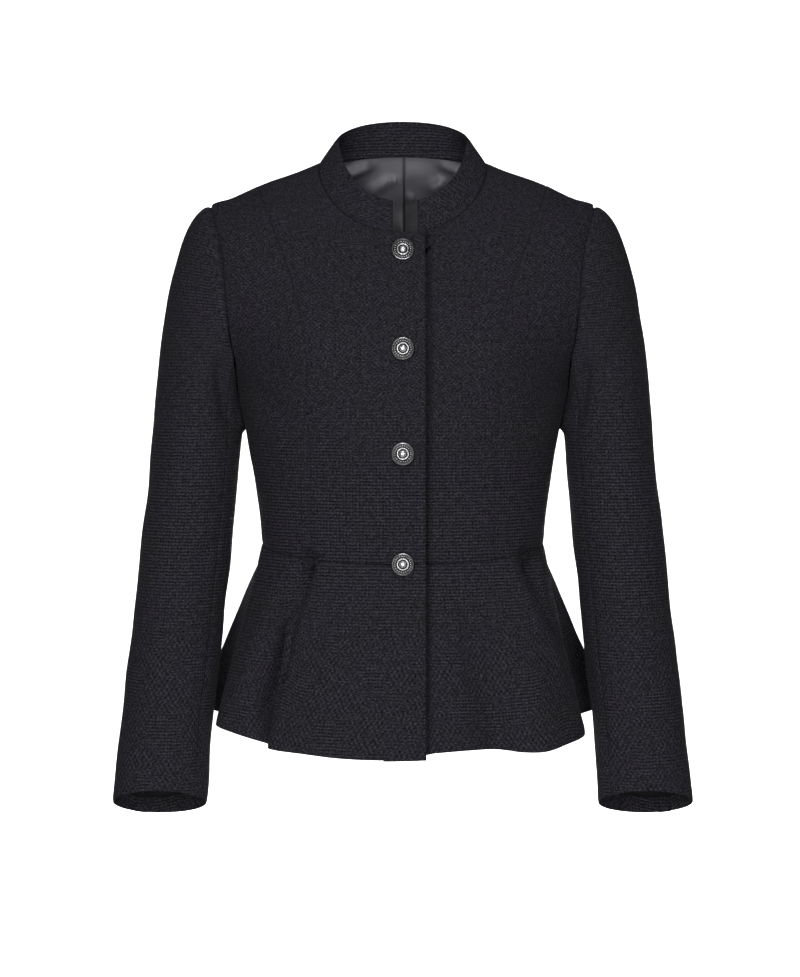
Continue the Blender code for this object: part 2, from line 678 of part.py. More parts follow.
def make_buttons():
    """Shank buttons up the centre front, each turned from one profile and square to the cloth."""
    for number, height in enumerate(BUTTON_HEIGHTS, 1):
        level = level_at_height(height)
        point = body_point(0.0, level)
        normal = surface_normal(body_point, 0.0, level)
        if number == len(BUTTON_HEIGHTS):
            centre = Hem(*between(PEPLUM_RIGHT, CENTRE_FRONT_ROW))
            below = peplum_surface(centre, PEPLUM_LEVELS[1]) - peplum_surface(centre, 0)
            skirt = unit(np.array([0.0, below[2], -below[1]]))
            normal = unit(normal + skirt)
            point = point + normal * SEAM_STEP
        name = "button_%d" % number
        data = bpy.data.meshes.new(name)
        profile = [(r * MM, 0.0, z * MM) for r, z in button_profile()]
        data.from_pydata(profile, [(i, i + 1) for i in range(len(profile) - 1)], [])
        made = bpy.data.objects.new(name, data)
        bpy.context.scene.collection.children["peplum_jacket"].objects.link(made)
        made.data.materials.append(material(name + "_metal", SILVER_COLOUR, 0.35, 1.0))
        turn = made.modifiers.new("turned", "SCREW")
        turn.steps = BUTTON_STEPS
        turn.render_steps = BUTTON_STEPS
        turn.use_merge_vertices = True
        turn.merge_threshold = 0.00001
        turn.use_smooth_shade = True
        made.location = [float(value) * MM for value in point]
        made.rotation_euler = (math.atan2(-float(normal[1]), float(normal[2])), 0.0, 0.0)


def level_at_height(z):
    """The level whose centre front is at a height."""
    low, high = 0.0, float(NECK)
    for _ in range(40):
        middle = (low + high) / 2
        if body_point(0.0, middle)[2] < z:
            low = middle
        else:
            high = middle
    return low


def main():
    for old in list(bpy.data.objects):
        bpy.data.objects.remove(old)
    bpy.context.scene.collection.children.link(bpy.data.collections.new("peplum_jacket"))
    points, normals = sleeve_grid()
    joins = armhole_join(points, normals)
    make_fronts(joins)
    make_backs(joins)
    make_back_lining()
    make_sleeves(points, normals, joins)
    make_peplum()
    make_collar()
    make_buttons()


main()
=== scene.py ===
# %% [markdown]
# # A peplum jacket
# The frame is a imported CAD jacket: hollow, filled out, each cut piece a wall two millimetres thick.
# A real jacket is thinner and softer than that, so this lesson makes each piece again as a thin
# sheet on the same surface, with its edges turned in, its creases, its weave and its stitches.
# Everything is in metres in the end, but the tables are in millimetres, as a maker writes them.

# %% Open the frame
import math
from collections import namedtuple

import bmesh
import bpy
import numpy as np
from mathutils import Matrix, Vector


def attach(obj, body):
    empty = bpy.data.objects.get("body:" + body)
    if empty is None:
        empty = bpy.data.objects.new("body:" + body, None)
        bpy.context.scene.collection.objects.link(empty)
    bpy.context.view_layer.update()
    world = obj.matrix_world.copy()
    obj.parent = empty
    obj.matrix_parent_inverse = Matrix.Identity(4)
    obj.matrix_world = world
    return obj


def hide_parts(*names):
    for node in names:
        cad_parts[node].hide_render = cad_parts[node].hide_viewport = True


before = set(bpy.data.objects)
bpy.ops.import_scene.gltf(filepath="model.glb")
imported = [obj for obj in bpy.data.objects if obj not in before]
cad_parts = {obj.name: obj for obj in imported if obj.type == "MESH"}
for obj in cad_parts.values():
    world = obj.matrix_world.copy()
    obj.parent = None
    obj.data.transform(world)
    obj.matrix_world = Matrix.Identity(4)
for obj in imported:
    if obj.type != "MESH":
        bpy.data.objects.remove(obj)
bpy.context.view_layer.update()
MM = 0.001
print("solids in the frame:", len(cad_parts))

# %% [markdown]
# ## The form
# A jacket could be draped over a body and simulated, but here the solids already have its form. It
# comes from level rings round the body, so the same short tables give the same surface at any
# fineness. Level 0 is the waist seam, 3 the underarm, 5 the shoulder tip and 7 the neckline; the
# angle goes from the centre front round the left side to the centre back.

# %% Rings of the body
Ring = namedtuple("Ring", "level front_z side_z back_z half_width front_y side_y back_y squareness")
BODY = (
    Ring(0, -380.5, -366.0, -370.0, 137.0, -104.0, -6.0, 88.0, 2.25),
    Ring(1, -318.0, -312.0, -316.0, 142.6, -109.0, -5.0, 93.0, 2.30),
    Ring(2, -250.0, -250.0, -252.0, 153.9, -116.0, -3.0, 102.0, 2.45),
    Ring(3, -178.0, -222.0, -196.0, 160.0, -115.0, 0.0, 110.0, 2.60),
    Ring(4, -122.0, -135.0, -132.0, 198.0, -93.0, 3.0, 110.0, 2.40),
    Ring(5, -91.0, -36.3, -56.0, 186.0, -74.5, 5.0, 96.0, 2.30),
    Ring(5.35, -85.2, -29.6, -40.5, 167.6, -71.0, 4.3, 90.0, 2.28),
    Ring(6, -77.0, -17.2, -17.0, 134.0, -65.5, 3.0, 78.0, 2.25),
    Ring(7, -65.5, 0.0, 16.0, 82.0, -58.5, 0.0, 62.0, 2.20),
)
COLLAR_TOP = Ring(8, -36.0, 27.0, 45.5, 63.0, -54.0, 5.0, 55.0, 2.20)
RING_DIP = 1.25
UNDERARM, TIP, NECK = 3, 5, 7

# %% Curves through the rows of a table


def bend(t, start, end, start_slope, end_slope):
    """A cubic from start, at t = 0, to end, at t = 1, with the slopes that it has there."""
    return (
        (2 * t**3 - 3 * t**2 + 1) * start + (t**3 - 2 * t**2 + t) * start_slope
        + (3 * t**2 - 2 * t**3) * end + (t**3 - t**2) * end_slope
    )


def at_level(rows, level):
    """Rows read at levels, their first column. The curve never runs past a highest or lowest row."""
    table = np.array(rows, float)
    slopes = np.diff(table, axis=0) / np.diff(table[:, 0])[:, None]
    below, above = slopes[:-1], slopes[1:]
    agree = below * above > 0
    shared = np.where(agree, 2 * below * above / np.where(agree, below + above, 1.0), 0.0)
    knots = np.vstack([slopes[:1], shared, slopes[-1:]])
    low = np.clip(np.searchsorted(table[:, 0], level, side="right") - 1, 0, len(slopes) - 1)
    width = (table[low + 1, 0] - table[low, 0])[..., None]
    t = (level - table[low, 0])[..., None] / width
    return bend(t, table[low], table[low + 1], knots[low] * width, knots[low + 1] * width)


def between(rows, where):
    """Rows read between evenly spaced rows, on a curve that passes through each of them."""
    table = np.array(rows, float)
    longer = np.vstack([2 * table[0] - table[1], table, 2 * table[-1] - table[-2]])
    low = np.clip(np.floor(where).astype(int), 0, len(table) - 2)
    before, start, end, after = (longer[low + k] for k in range(4))
    return bend((where - low)[..., None], start, end, (end - before) / 2, (after - start) / 2)


def columns_of(kind, values):
    """The last axis of an array as the named columns of a table."""
    return kind(*np.moveaxis(values, -1, 0))


# %% The skin of the body
BUST_OUT, BUST_X, BUST_Z, BUST_WIDTH, BUST_HEIGHT = 13.0, 86.0, -178.0, 40.0, 58.0


def on_ring(ring, angle):
    sine = np.sin(angle)
    reach = np.clip(1 - np.abs(sine) ** ring.squareness, 0, 1) ** (1 / ring.squareness)
    front = np.cos(angle) >= 0
    far_y = np.where(front, ring.front_y, ring.back_y)
    far_z = np.where(front, ring.front_z, ring.back_z)
    return np.stack([
        ring.half_width * sine,
        ring.side_y + (far_y - ring.side_y) * reach,
        ring.side_z + (far_z - ring.side_z) * reach**RING_DIP,
    ], axis=-1)


def body(angle, level):
    """Points of the body's outer skin at arrays of angles and levels."""
    angle, level = np.broadcast_arrays(np.asarray(angle, float), np.asarray(level, float))
    points = on_ring(columns_of(Ring, at_level(BODY, level)), angle)
    across = (np.abs(points[..., 0]) - BUST_X) / BUST_WIDTH
    up = (points[..., 2] - BUST_Z) / BUST_HEIGHT
    push = BUST_OUT * np.exp(-across**2 - up**2) * np.clip(4 * np.cos(angle), 0, 1)
    points[..., 1] -= push
    return points


def angle_at(x, level):
    """The angle at which a distance from the centre is reached on a level ring in front."""
    return np.arcsin(np.clip(x / at_level(BODY, level)[..., 4], -1, 1))


print("bust point:", np.round(body(np.array(0.6), np.array(3.0)), 1))

# %% [markdown]
# ## A sheet of cloth
# A cut piece is a grid of points. Cloth has no thickness that could be modelled by one grid alone,
# so Solidify gives it one. What makes it read as sewn cloth is its edges. A free edge is folded back
# inside over a facing, round a small radius, so the grid gets a few more rows that go round the fold
# and back. At a seam one piece is folded like that, and the other may carry on inside it, as a seam
# allowance does, which leaves a fine dark line and lets no light through.
# The map (UV) is in metres of cloth, which lets the weave follow the piece at its true scale.

# %% Grids, their normals and their folded edges
STEP = 2.8                                  # spacing of the points of a sheet
NEAR_EDGE = (0.0, 0.5, 1.1, 1.9, 3.0, 4.6)  # closer points beside an edge
CLOTH_THICK = 0.62                          # one layer of cloth
HALF_GAP = 0.25                             # half the sewing gap
FOLD, FOLD_CLEAR = 0.6, 1.5                 # radius of a fold, and where the turned cloth starts
SEAM_DIP, DIP_WIDTH = 0.45, 2.6             # how far cloth sinks at a sewn or pressed edge
Tuck = namedtuple("Tuck", "past inside")
ALLOWANCE = (Tuck(0.4, 0.7), Tuck(1.2, 1.6), Tuck(3.0, 2.2), Tuck(6.0, 2.6))


def unit(vectors):
    return vectors / np.maximum(np.linalg.norm(vectors, axis=-1, keepdims=True), 1e-9)


def steps(length, start=True, end=True, step=STEP):
    """Shares from 0 to 1 along a length, closer together at ends that are seams."""
    margin = HALF_GAP + FOLD
    near = np.array(NEAR_EDGE) + margin
    low = near if start else np.array([0.0, step / 2])
    high = (length - near if end else length - np.array([0.0, step / 2]))[::-1]
    count = max(int((high[0] - low[-1]) / step), 2)
    middle = np.linspace(low[-1], high[0], count + 1)[1:-1]
    return np.concatenate([low, middle, high]) / length


def normals_of(points):
    """Outward normals of a grid whose rows go up and whose columns go round from front to left."""
    return unit(np.cross(np.gradient(points, axis=1), np.gradient(points, axis=0)))


def mirrored(points):
    """The grid of the other side of the body, its columns still in the same direction."""
    return (points * np.array([-1.0, 1.0, 1.0]))[:, ::-1]


def edge_first(grid, edge):
    """A grid turned so that one edge, its bottom, top, first or last, is its first row."""
    grid = np.swapaxes(grid, 0, 1) if edge in ("first", "last") else grid
    return grid[::-1] if edge in ("top", "last") else grid


def edge_back(grid, edge):
    """A grid turned back as it was before edge_first."""
    grid = grid[::-1] if edge in ("top", "last") else grid
    return np.swapaxes(grid, 0, 1) if edge in ("first", "last") else grid


def dipped(points, normals, away):
    """A grid that sinks a little towards the edge it is sewn or pressed at."""
    return points - normals * (SEAM_DIP * np.exp(-(away / DIP_WIDTH) ** 2))[:, None, None]


def folded(points, normals, edge, width, radius=FOLD):
    """A grid with one edge turned inside over a width."""
    points, normals = edge_first(points, edge), edge_first(normals, edge)
    away = np.linalg.norm(points - points[0], axis=2).mean(axis=1)
    points = dipped(points, normals, away)
    out = unit(points[0] - points[1])
    turns = np.radians((180, 150, 120, 90, 60, 30))
    fold = [points[0] + out * radius * np.sin(a) - normals[0] * radius * (1 - np.cos(a)) for a in turns]
    under = [k for k in range(len(points) - 1, 0, -1) if FOLD_CLEAR < away[k] < width]
    back = [points[k] - normals[k] * 2 * radius for k in under]
    points = np.array(back + fold + list(points))
    normals = np.concatenate([normals[under], np.repeat(normals[:1], len(fold), axis=0), normals])
    return edge_back(points, edge), edge_back(normals, edge)


def tucked(points, edge):
    """A grid carried on inside its neighbour at one edge, as a seam allowance is."""
    points, normals = edge_first(points, edge), edge_first(normals_of(points), edge)
    away = np.linalg.norm(points - points[0], axis=2).mean(axis=1)
    points = dipped(points, normals, away)
    along = unit(np.gradient(points[0], axis=0))
    on = points[0] - points[1]
    on = unit(on - along * np.sum(on * along, axis=-1, keepdims=True))
    more = [points[0] + on * tuck.past - normals[0] * tuck.inside for tuck in ALLOWANCE[::-1]]
    return edge_back(np.concatenate([more, points]), edge)


def arc(points, axis):
    """Length along an axis of a grid, from its start."""
    lengths = np.linalg.norm(np.diff(points, axis=axis), axis=2)
    start = np.zeros_like(lengths[:1] if axis == 0 else lengths[:, :1])
    return np.concatenate([start, np.cumsum(lengths, axis=axis)], axis=axis)


def grid_area(points):
    across = points[:-1, 1:] - points[:-1, :-1]
    up = points[1:, :-1] - points[:-1, :-1]
    return float(np.linalg.norm(np.cross(across, up), axis=2).sum())


# %% [markdown]
# ## Creases
# Cloth that hangs from the shoulders and is buttoned at the waist is never quite smooth. The folds
# could come from a simulation, but then they fall where they like. Here each one is placed as a
# soft trough or ridge between two places of the front or back view, and all of the cloth gets
# a slow unevenness of a few tenths of a millimetre. Both depend on the place alone, so pieces that
# meet at a seam move together and the seam stays closed. Body and sleeve face different ways where
# they meet, so at the armhole everything but the shoulder's own sinking fades out.

# %% Troughs and ridges
Crease = namedtuple("Crease", "x0 z0 x1 z1 depth width")
FRONT_CREASES = (
    # from the underarms to the bust, and towards the buttons
    Crease(-150, -205, -105, -250, 1.4, 9.0), Crease(148, -210, 112, -262, 1.2, 9.0),
    Crease(-12, -352, -42, -374, 1.7, 5.0), Crease(30, -340, 78, -366, 0.8, 7.0),
    Crease(-60, -300, -112, -318, 0.7, 8.0), Crease(52, -296, 104, -322, 0.7, 9.0),
    # folds of the peplum: deep valleys, and ridges (depths below 0) beside them
    Crease(-90, -376, -109, -432, 18.0, 6.5), Crease(-110, -434, -135, -536, 16.0, 7.0),
    Crease(-116, -396, -160, -520, -5.0, 11.0), Crease(-20, -396, -34, -456, 3.0, 13.0),
    Crease(102, -381, 156, -486, -3.6, 9.0), Crease(121, -376, 147, -432, 15.0, 8.5),
    Crease(149, -434, 174, -500, 9.0, 8.5), Crease(56, -392, 72, -505, 3.2, 12.0),
    # sleeves, beside and below the armhole, at the elbow and above the cuff
    Crease(-177, -190, -167, -250, 6.0, 6.0), Crease(177, -190, 167, -250, 6.0, 6.0),
    Crease(-222, -140, -190, -196, 2.0, 7.0), Crease(216, -150, 190, -208, 1.6, 7.0),
    Crease(-238, -328, -205, -352, 1.4, 8.0), Crease(-198, -384, -176, -356, 1.7, 7.0),
    Crease(238, -350, 206, -334, 1.4, 8.0), Crease(190, -356, 178, -394, 1.6, 7.0),
    Crease(-262, -498, -230, -514, 1.2, 9.0), Crease(258, -470, 228, -500, 1.3, 9.0),
)
BACK_CREASES = (
    Crease(-150, -215, -96, -262, 1.3, 10.0), Crease(146, -208, 104, -250, 1.5, 10.0),
    Crease(-70, -345, -24, -362, 0.9, 8.0), Crease(18, -350, 66, -338, 0.8, 8.0),
    Crease(-112, -386, -150, -500, 3.2, 11.0), Crease(54, -388, 66, -520, 3.0, 11.0),
    Crease(124, -390, 158, -506, 2.8, 10.0), Crease(-40, -390, -58, -515, 2.2, 12.0),
    Crease(-228, -300, -190, -332, 1.8, 9.0), Crease(224, -312, 188, -350, 1.8, 9.0),
    Crease(-200, -360, -238, -384, 1.6, 8.0), Crease(-248, -470, -216, -492, 1.2, 9.0),
)
Wave = namedtuple("Wave", "x y z phase height")
UNEVEN = (
    Wave(0.071, 0.020, 0.048, 0.4, 0.24), Wave(-0.043, 0.061, 0.083, 2.1, 0.20),
    Wave(0.118, -0.035, -0.029, 4.0, 0.14), Wave(0.026, 0.093, -0.112, 1.3, 0.12),
    Wave(-0.139, 0.047, 0.131, 5.2, 0.08),
)
FADE_ENDS = 0.45                    # share of its depth that a crease keeps at its ends
STILL_AT_ARMHOLE = 10.0             # distance from the armhole over which the creases fade out
SHOULDER_SINK = 2.2
Span = namedtuple("Span", "start full")
SINK_FROM_NECK, SINK_FROM_SLEEVE, SINK_UP = Span(120, 170), Span(193, 184), Span(-75, -45)


def trough(points, crease):
    """How deep a crease of the front or back view is at each point."""
    flat = points[..., [0, 2]]
    start = np.array([crease.x0, crease.z0], float)
    run = np.array([crease.x1, crease.z1]) - start
    share = np.clip((flat - start) @ run / (run @ run), 0, 1)
    away = np.linalg.norm(flat - start - share[..., None] * run, axis=-1)
    fade = np.clip(4 * share * (1 - share) + FADE_ENDS, 0, 1)
    return crease.depth * np.exp(-(away / crease.width) ** 2) * fade


def ease(t):
    t = np.clip(t, 0, 1)
    return t * t * (3 - 2 * t)


def over(span, values):
    """How far values are over a span, from 0 at its start to 1 where it is full."""
    return ease((values - span.start) / (span.full - span.start))


def creased(points, normals):
    """The points of a grid moved along their normals by the creases and the unevenness, which fade
    out at the armhole, and down where the shoulder sinks a little beside it."""
    moved = np.zeros(points.shape[:2])
    for wave in UNEVEN:
        moved += wave.height * np.sin(points @ np.array([wave.x, wave.y, wave.z]) + wave.phase)
    for creases, facing in ((FRONT_CREASES, -1.0), (BACK_CREASES, 1.0)):
        faces = np.clip(2.5 * facing * normals[..., 1], 0, 1)
        for crease in creases:
            moved -= trough(points, crease) * faces
    left_side = np.stack([np.abs(points[..., 0]), points[..., 1], points[..., 2]], axis=-1)
    away = np.min([np.linalg.norm(left_side - place, axis=2) for place in ARMHOLE_LINE], axis=0)
    points = points + normals * (moved * ease(away / STILL_AT_ARMHOLE))[..., None]
    x, z = left_side[..., 0], left_side[..., 2]
    points[..., 2] -= SHOULDER_SINK * over(SINK_FROM_NECK, x) * over(SINK_FROM_SLEEVE, x) * over(SINK_UP, z)
    return points


# %% From a grid to a piece
sizes = {}


def level_map(points, normals, row):
    """A map whose rows stay level on the body, as the weave of a cut piece does."""
    steep = np.sqrt(np.clip(1 - normals[..., 2] ** 2, 0.05, 1))
    rise = np.diff(points[..., 2], axis=0) / ((steep[1:] + steep[:-1]) / 2)
    up = np.concatenate([np.zeros_like(rise[:1]), np.cumsum(rise, axis=0)])
    level = np.linalg.norm(np.diff(points[..., :2], axis=1), axis=2)
    across = np.concatenate([np.zeros_like(level[:, :1]), np.cumsum(level, axis=1)], axis=1)
    inner = np.argmin(np.abs(points[row, :, 0]))
    across += (points[:, inner, 0] - across[:, inner])[:, None]
    return np.stack([across, up + points[row, :, 2] - up[row]], axis=-1)


def hanging_map(points, normals, row):
    """A map that follows the cloth down from a row, as on a sleeve or a flared skirt."""
    across = arc(points, 1)
    across -= across[:, across.shape[1] // 2][:, None]
    up = arc(points, 0)
    return np.stack([across, up + points[row, :, 2] - up[row]], axis=-1)


def band_map(points, normals, row):
    """A map along a band that is cut straight, as a collar is."""
    return np.stack([arc(points, 1), arc(points, 0)], axis=-1)


def sheet(name, points, normals, folds, finish, stands_for, mapped=level_map, level_row=0.3):
    """A thin sheet on a grid of millimetre points, its edges folded, replacing a CAD node. The rows
    of the weave are level where the grid is at a share of its height."""
    points = creased(points, normals)
    for edge, turn, *radius in folds:
        points, normals = folded(points, normals, edge, turn, *radius)
    flat_area = grid_area(points)
    width = float(arc(points, 1)[:, -1].max())
    length = float(arc(points, 0)[-1].max())
    made = grid_mesh(name, points, mapped(points, normals, int(level_row * len(points))), finish)
    solidify(made, CLOTH_THICK)
    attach(made, "root")
    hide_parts(stands_for)
    sizes[name] = (width * MM, length * MM, flat_area * MM * MM)
    print("%s: %d x %d mm of cloth, %d faces" % (name, width, length, len(made.data.polygons)))
    return made


def grid_mesh(name, points, flat_map, finish, ring=False):
    """A mesh with a face between each four neighbours of a grid, and a map in metres."""
    rows, columns = points.shape[:2]
    number = np.arange(rows * columns).reshape(rows, columns)
    if ring:
        number = np.concatenate([number, number[:, :1]], axis=1)
    corners = np.stack([number[:-1, :-1], number[:-1, 1:], number[1:, 1:], number[1:, :-1]], axis=-1)
    mesh = bpy.data.meshes.new(name)
    mesh.from_pydata((points * MM).reshape(-1, 3).tolist(), [], corners.reshape(-1, 4).tolist())
    layer = mesh.uv_layers.new(name="cloth")
    if ring:
        once_round = 2 * flat_map[0, -1, 0] - flat_map[0, -2, 0]
        flat_map = np.concatenate([flat_map, flat_map[:, :1] + [once_round, 0]], axis=1)
        spots = np.arange(rows * (columns + 1)).reshape(rows, columns + 1)
        corners = np.stack([spots[:-1, :-1], spots[:-1, 1:], spots[1:, 1:], spots[1:, :-1]], axis=-1)
    layer.data.foreach_set("uv", (flat_map * MM).reshape(-1, 2)[corners.reshape(-1)].reshape(-1))
    mesh.shade_smooth()
    mesh.materials.append(finish)
    made = bpy.data.objects.new(name, mesh)
    bpy.context.scene.collection.objects.link(made)
    return made


def solidify(made, thickness):
    bpy.ops.object.select_all(action="DESELECT")
    made.select_set(True)
    bpy.context.view_layer.objects.active = made
    wall = made.modifiers.new("cloth thickness", "SOLIDIFY")
    wall.thickness = thickness * MM
    wall.offset = -1
    bpy.ops.object.modifier_apply(modifier=wall.name)


# %% [markdown]
# ## The weave
# The cloth is nearly black, yet it is not flat: small raised floats stand in staggered rows four
# millimetres apart, and in patches they run together into fine ribs. An image texture could carry
# that, but waves and noise on the sheet's own map do it at any distance. The same height drives the
# colour and the bump: the gaps between the floats get painted shade and the float tops a painted
# highlight, over the yarn's own uneven tone. Wool has hardly any gloss, so the specular level is
# low, and a little sheen stands for the nap.

# %% Shader helpers


def node(tree, kind, inputs, **settings):
    """A shader node. Each input is a number, a colour or the output of another node."""
    made = tree.nodes.new("ShaderNode" + kind)
    for key, value in settings.items():
        setattr(made, key, value)
    for key, value in inputs.items():
        if isinstance(value, bpy.types.NodeSocket):
            tree.links.new(value, made.inputs[key])
        else:
            made.inputs[key].default_value = value
    return made.outputs[0]


def maths(tree, operation, *values):
    return node(tree, "Math", dict(enumerate(values)), operation=operation)


def noise(tree, place, scale, detail=2.0):
    return node(tree, "TexNoise", {"Vector": place, "Scale": scale, "Detail": detail})


def add_noise(tree, value, place, scale, amount):
    """A value with noise added that lies about evenly on both sides of it."""
    both_sides = maths(tree, "MULTIPLY_ADD", noise(tree, place, scale), amount, -amount / 2)
    return maths(tree, "ADD", value, both_sides)


def from_to(tree, value, low, high, new_low=0.0, new_high=1.0):
    """A value between low and high brought to between two others, and kept there."""
    return node(tree, "MapRange", {0: value, 1: low, 2: high, 3: new_low, 4: new_high})


def colours(tree, value, *stops):
    """A colour for a value, through stops of a share and a colour."""
    made = tree.nodes.new("ShaderNodeValToRGB")
    tree.links.new(value, made.inputs[0])
    ramp = made.color_ramp
    while len(ramp.elements) < len(stops):
        ramp.elements.new(0.5)
    for element, (share, colour) in zip(ramp.elements, stops):
        element.position = share
        element.color = (*colour, 1.0)
    return made.outputs[0]


def finish(name, **constants):
    """A new material, its node tree and its main shader, with the shader's constants set."""
    made = bpy.data.materials.new(name)
    made.use_nodes = True
    shader = made.node_tree.nodes["Principled BSDF"]
    for key, value in constants.items():
        shader.inputs[key.replace("_", " ")].default_value = value
    return made, made.node_tree, shader


# %% Weave the tweed
RIB = 3.2 * MM
DOT_APART, DOT_ROW = 4.9 * MM, 3.8 * MM
CROSS = 4.4 * MM
ACROSS_RIBS, CROSS_SHARE = 0.35, 0.6    # strength of the ribs' cross lines and of the chest's floats
WANDER, WANDER_SCALE = 0.8 * MM, 110.0
BLOTCH_SCALE, BLOTCH_REACH, TINT_SCALE = 24.0, 0.14, 18.0
PATTERN_HEIGHT, YARN_HEIGHT, SLUB_HEIGHT = 0.19, 1.9, 0.5
YARN_SCALE, SLUB_SCALE = 760.0, 170.0
TURN = 2 * math.pi
CHEST_LOW, CHEST_HIGH = -0.30, -0.21    # heights where the floats change, in metres
SKIRT_HIGH, SKIRT_LOW = -0.40, -0.46
COLLAR_INSIDE = 0.044                   # where the collar's map passes its top edge


def wave_along(tree, distance, period):
    return maths(tree, "COSINE", maths(tree, "MULTIPLY", distance, TURN / period))


def weave(name, deep, middle, high, chest_share):
    """A woven finish between three colours, from painted shade in the gaps to a painted highlight on
    the tops of the floats, over the yarn's own uneven tone. The share says how far the floats of the
    chest lie crosswise."""
    made, tree, shader = finish(name, Roughness=0.95, Specular_IOR_Level=0.07, Sheen_Weight=0.02,
                                Sheen_Roughness=0.45, Sheen_Tint=(0.8, 0.8, 0.9, 1.0))
    flat = node(tree, "UVMap", {})
    wander = tree.nodes.new("ShaderNodeTexNoise")
    tree.links.new(flat, wander.inputs["Vector"])
    wander.inputs["Scale"].default_value = WANDER_SCALE
    drift = node(tree, "VectorMath", {0: wander.outputs["Color"], 1: (0.5, 0.5, 0.5)}, operation="SUBTRACT")
    place = node(tree, "VectorMath", {0: drift, 1: (WANDER, WANDER, 0), 2: flat}, operation="MULTIPLY_ADD")
    split = tree.nodes.new("ShaderNodeSeparateXYZ")
    tree.links.new(place, split.inputs[0])
    across, up = split.outputs[0], split.outputs[1]
    upright, level = wave_along(tree, across, RIB), wave_along(tree, up, RIB)
    ribs = maths(tree, "MULTIPLY_ADD", upright, ACROSS_RIBS, level)
    dots = maths(tree, "MULTIPLY", wave_along(tree, up, 2 * DOT_ROW), wave_along(tree, across, DOT_APART))
    cross = maths(tree, "MULTIPLY", wave_along(tree, up, CROSS), wave_along(tree, across, CROSS))
    cross = maths(tree, "MULTIPLY", cross, CROSS_SHARE)
    blotches = noise(tree, flat, BLOTCH_SCALE)
    edge = maths(tree, "MULTIPLY_ADD", maths(tree, "ADD", blotches, -0.5), BLOTCH_REACH, up)
    in_chest = maths(tree, "MULTIPLY", from_to(tree, edge, CHEST_LOW, CHEST_HIGH), chest_share)
    outside = from_to(tree, up, COLLAR_INSIDE, COLLAR_INSIDE - 4 * MM)
    in_chest = maths(tree, "MULTIPLY", in_chest, outside)
    in_skirt = from_to(tree, edge, SKIRT_HIGH, SKIRT_LOW)
    in_skirt = maths(tree, "MULTIPLY", in_skirt, from_to(tree, blotches, 0.40, 0.52))
    pattern = node(tree, "Mix", {0: in_skirt, 2: ribs, 3: dots}, data_type="FLOAT")
    pattern = node(tree, "Mix", {0: in_chest, 2: pattern, 3: cross}, data_type="FLOAT")
    dashes = node(tree, "VectorMath", {0: flat, 1: (0.6, 1.0, 1.0)}, operation="MULTIPLY")
    height = maths(tree, "MULTIPLY_ADD", pattern, PATTERN_HEIGHT, 0.5)
    height = add_noise(tree, height, dashes, YARN_SCALE, YARN_HEIGHT)
    height = add_noise(tree, height, flat, SLUB_SCALE, SLUB_HEIGHT)
    # painted shade in the gaps and a painted highlight on the float tops, plus the yarn's own random tone
    shade = colours(tree, height, (0.0, deep), (0.5, middle), (1.0, high))
    warmth = noise(tree, flat, TINT_SCALE)
    tint = colours(tree, warmth, (0.35, (0.98, 1.0, 0.95)), (0.65, (1.02, 0.98, 1.06)))
    coloured = node(tree, "VectorMath", {0: shade, 1: tint}, operation="MULTIPLY")
    tree.links.new(coloured, shader.inputs["Base Color"])
    bump = node(tree, "Bump", {"Height": height, "Strength": 0.6, "Distance": 0.4 * MM})
    tree.links.new(bump, shader.inputs["Normal"])
    return made


# from the gaps to the float tops: the darkest is painted shade, the lightest a painted highlight
TWEED_COLOURS = ((0.002, 0.002, 0.0025), (0.0148, 0.0143, 0.0178), (0.044, 0.0425, 0.052))
tweed = weave("tweed", *TWEED_COLOURS, chest_share=1.0)
sleeve_tweed = weave("tweed of the sleeves", *TWEED_COLOURS, chest_share=0.45)
print("woven:", tweed.name, "and", sleeve_tweed.name)

# %% [markdown]
# ## Satin and silver
# Satin is smooth along its floats, so it takes a soft gloss that the wrinkles break up. Old silver
# is bright where it is rubbed and nearly black in its hollows, so it needs two finishes.

# %% Satin
SATIN_METALLIC, SATIN_SPECULAR, SATIN_ROUGHNESS = 0.25, 0.35, 0.5


def satin_finish(name, colour, gloss):
    """Satin of a colour, its gloss a share of that of satin in full light."""
    made, tree, shader = finish(name, Metallic=SATIN_METALLIC * gloss, Roughness=SATIN_ROUGHNESS,
                                Specular_IOR_Level=SATIN_SPECULAR * gloss)
    flat = node(tree, "UVMap", {})
    fine = node(tree, "VectorMath", {0: flat, 1: (1.0, 0.3, 1.0)}, operation="MULTIPLY")
    threads = noise(tree, fine, 2200.0, 1.0)
    clouds = noise(tree, flat, 45.0, 3.0)
    both = maths(tree, "MULTIPLY_ADD", threads, 0.25, maths(tree, "MULTIPLY", clouds, 0.75))
    dark, light = (tuple(share * c for c in colour) for share in (0.82, 1.2))
    shade = colours(tree, both, (0.3, dark), (0.7, light))
    tree.links.new(shade, shader.inputs["Base Color"])
    bump = node(tree, "Bump", {"Height": both, "Strength": 0.3, "Distance": 0.8 * MM})
    tree.links.new(bump, shader.inputs["Normal"])
    return made


satin = satin_finish("grey satin", (0.095, 0.094, 0.107), 1.0)
# the sleeves get the same satin made nearly black with little gloss: painted shade for the inside of the
# sleeves
shaded_sleeve_satin = satin_finish("satin in painted shade", (0.007, 0.007, 0.008), 0.15)

# %% Silver


def metal(name, dark, bright, roughness):
    made, tree, shader = finish(name, Metallic=1.0)
    place = tree.nodes.new("ShaderNodeTexCoord").outputs["Object"]
    wear = noise(tree, place, 900.0, 4.0)
    tree.links.new(colours(tree, wear, (0.3, dark), (0.65, bright)), shader.inputs["Base Color"])
    tree.links.new(from_to(tree, wear, 0.3, 0.7, roughness + 0.1, roughness), shader.inputs["Roughness"])
    bump = node(tree, "Bump", {"Height": wear, "Strength": 0.12, "Distance": 0.2 * MM})
    tree.links.new(bump, shader.inputs["Normal"])
    return made


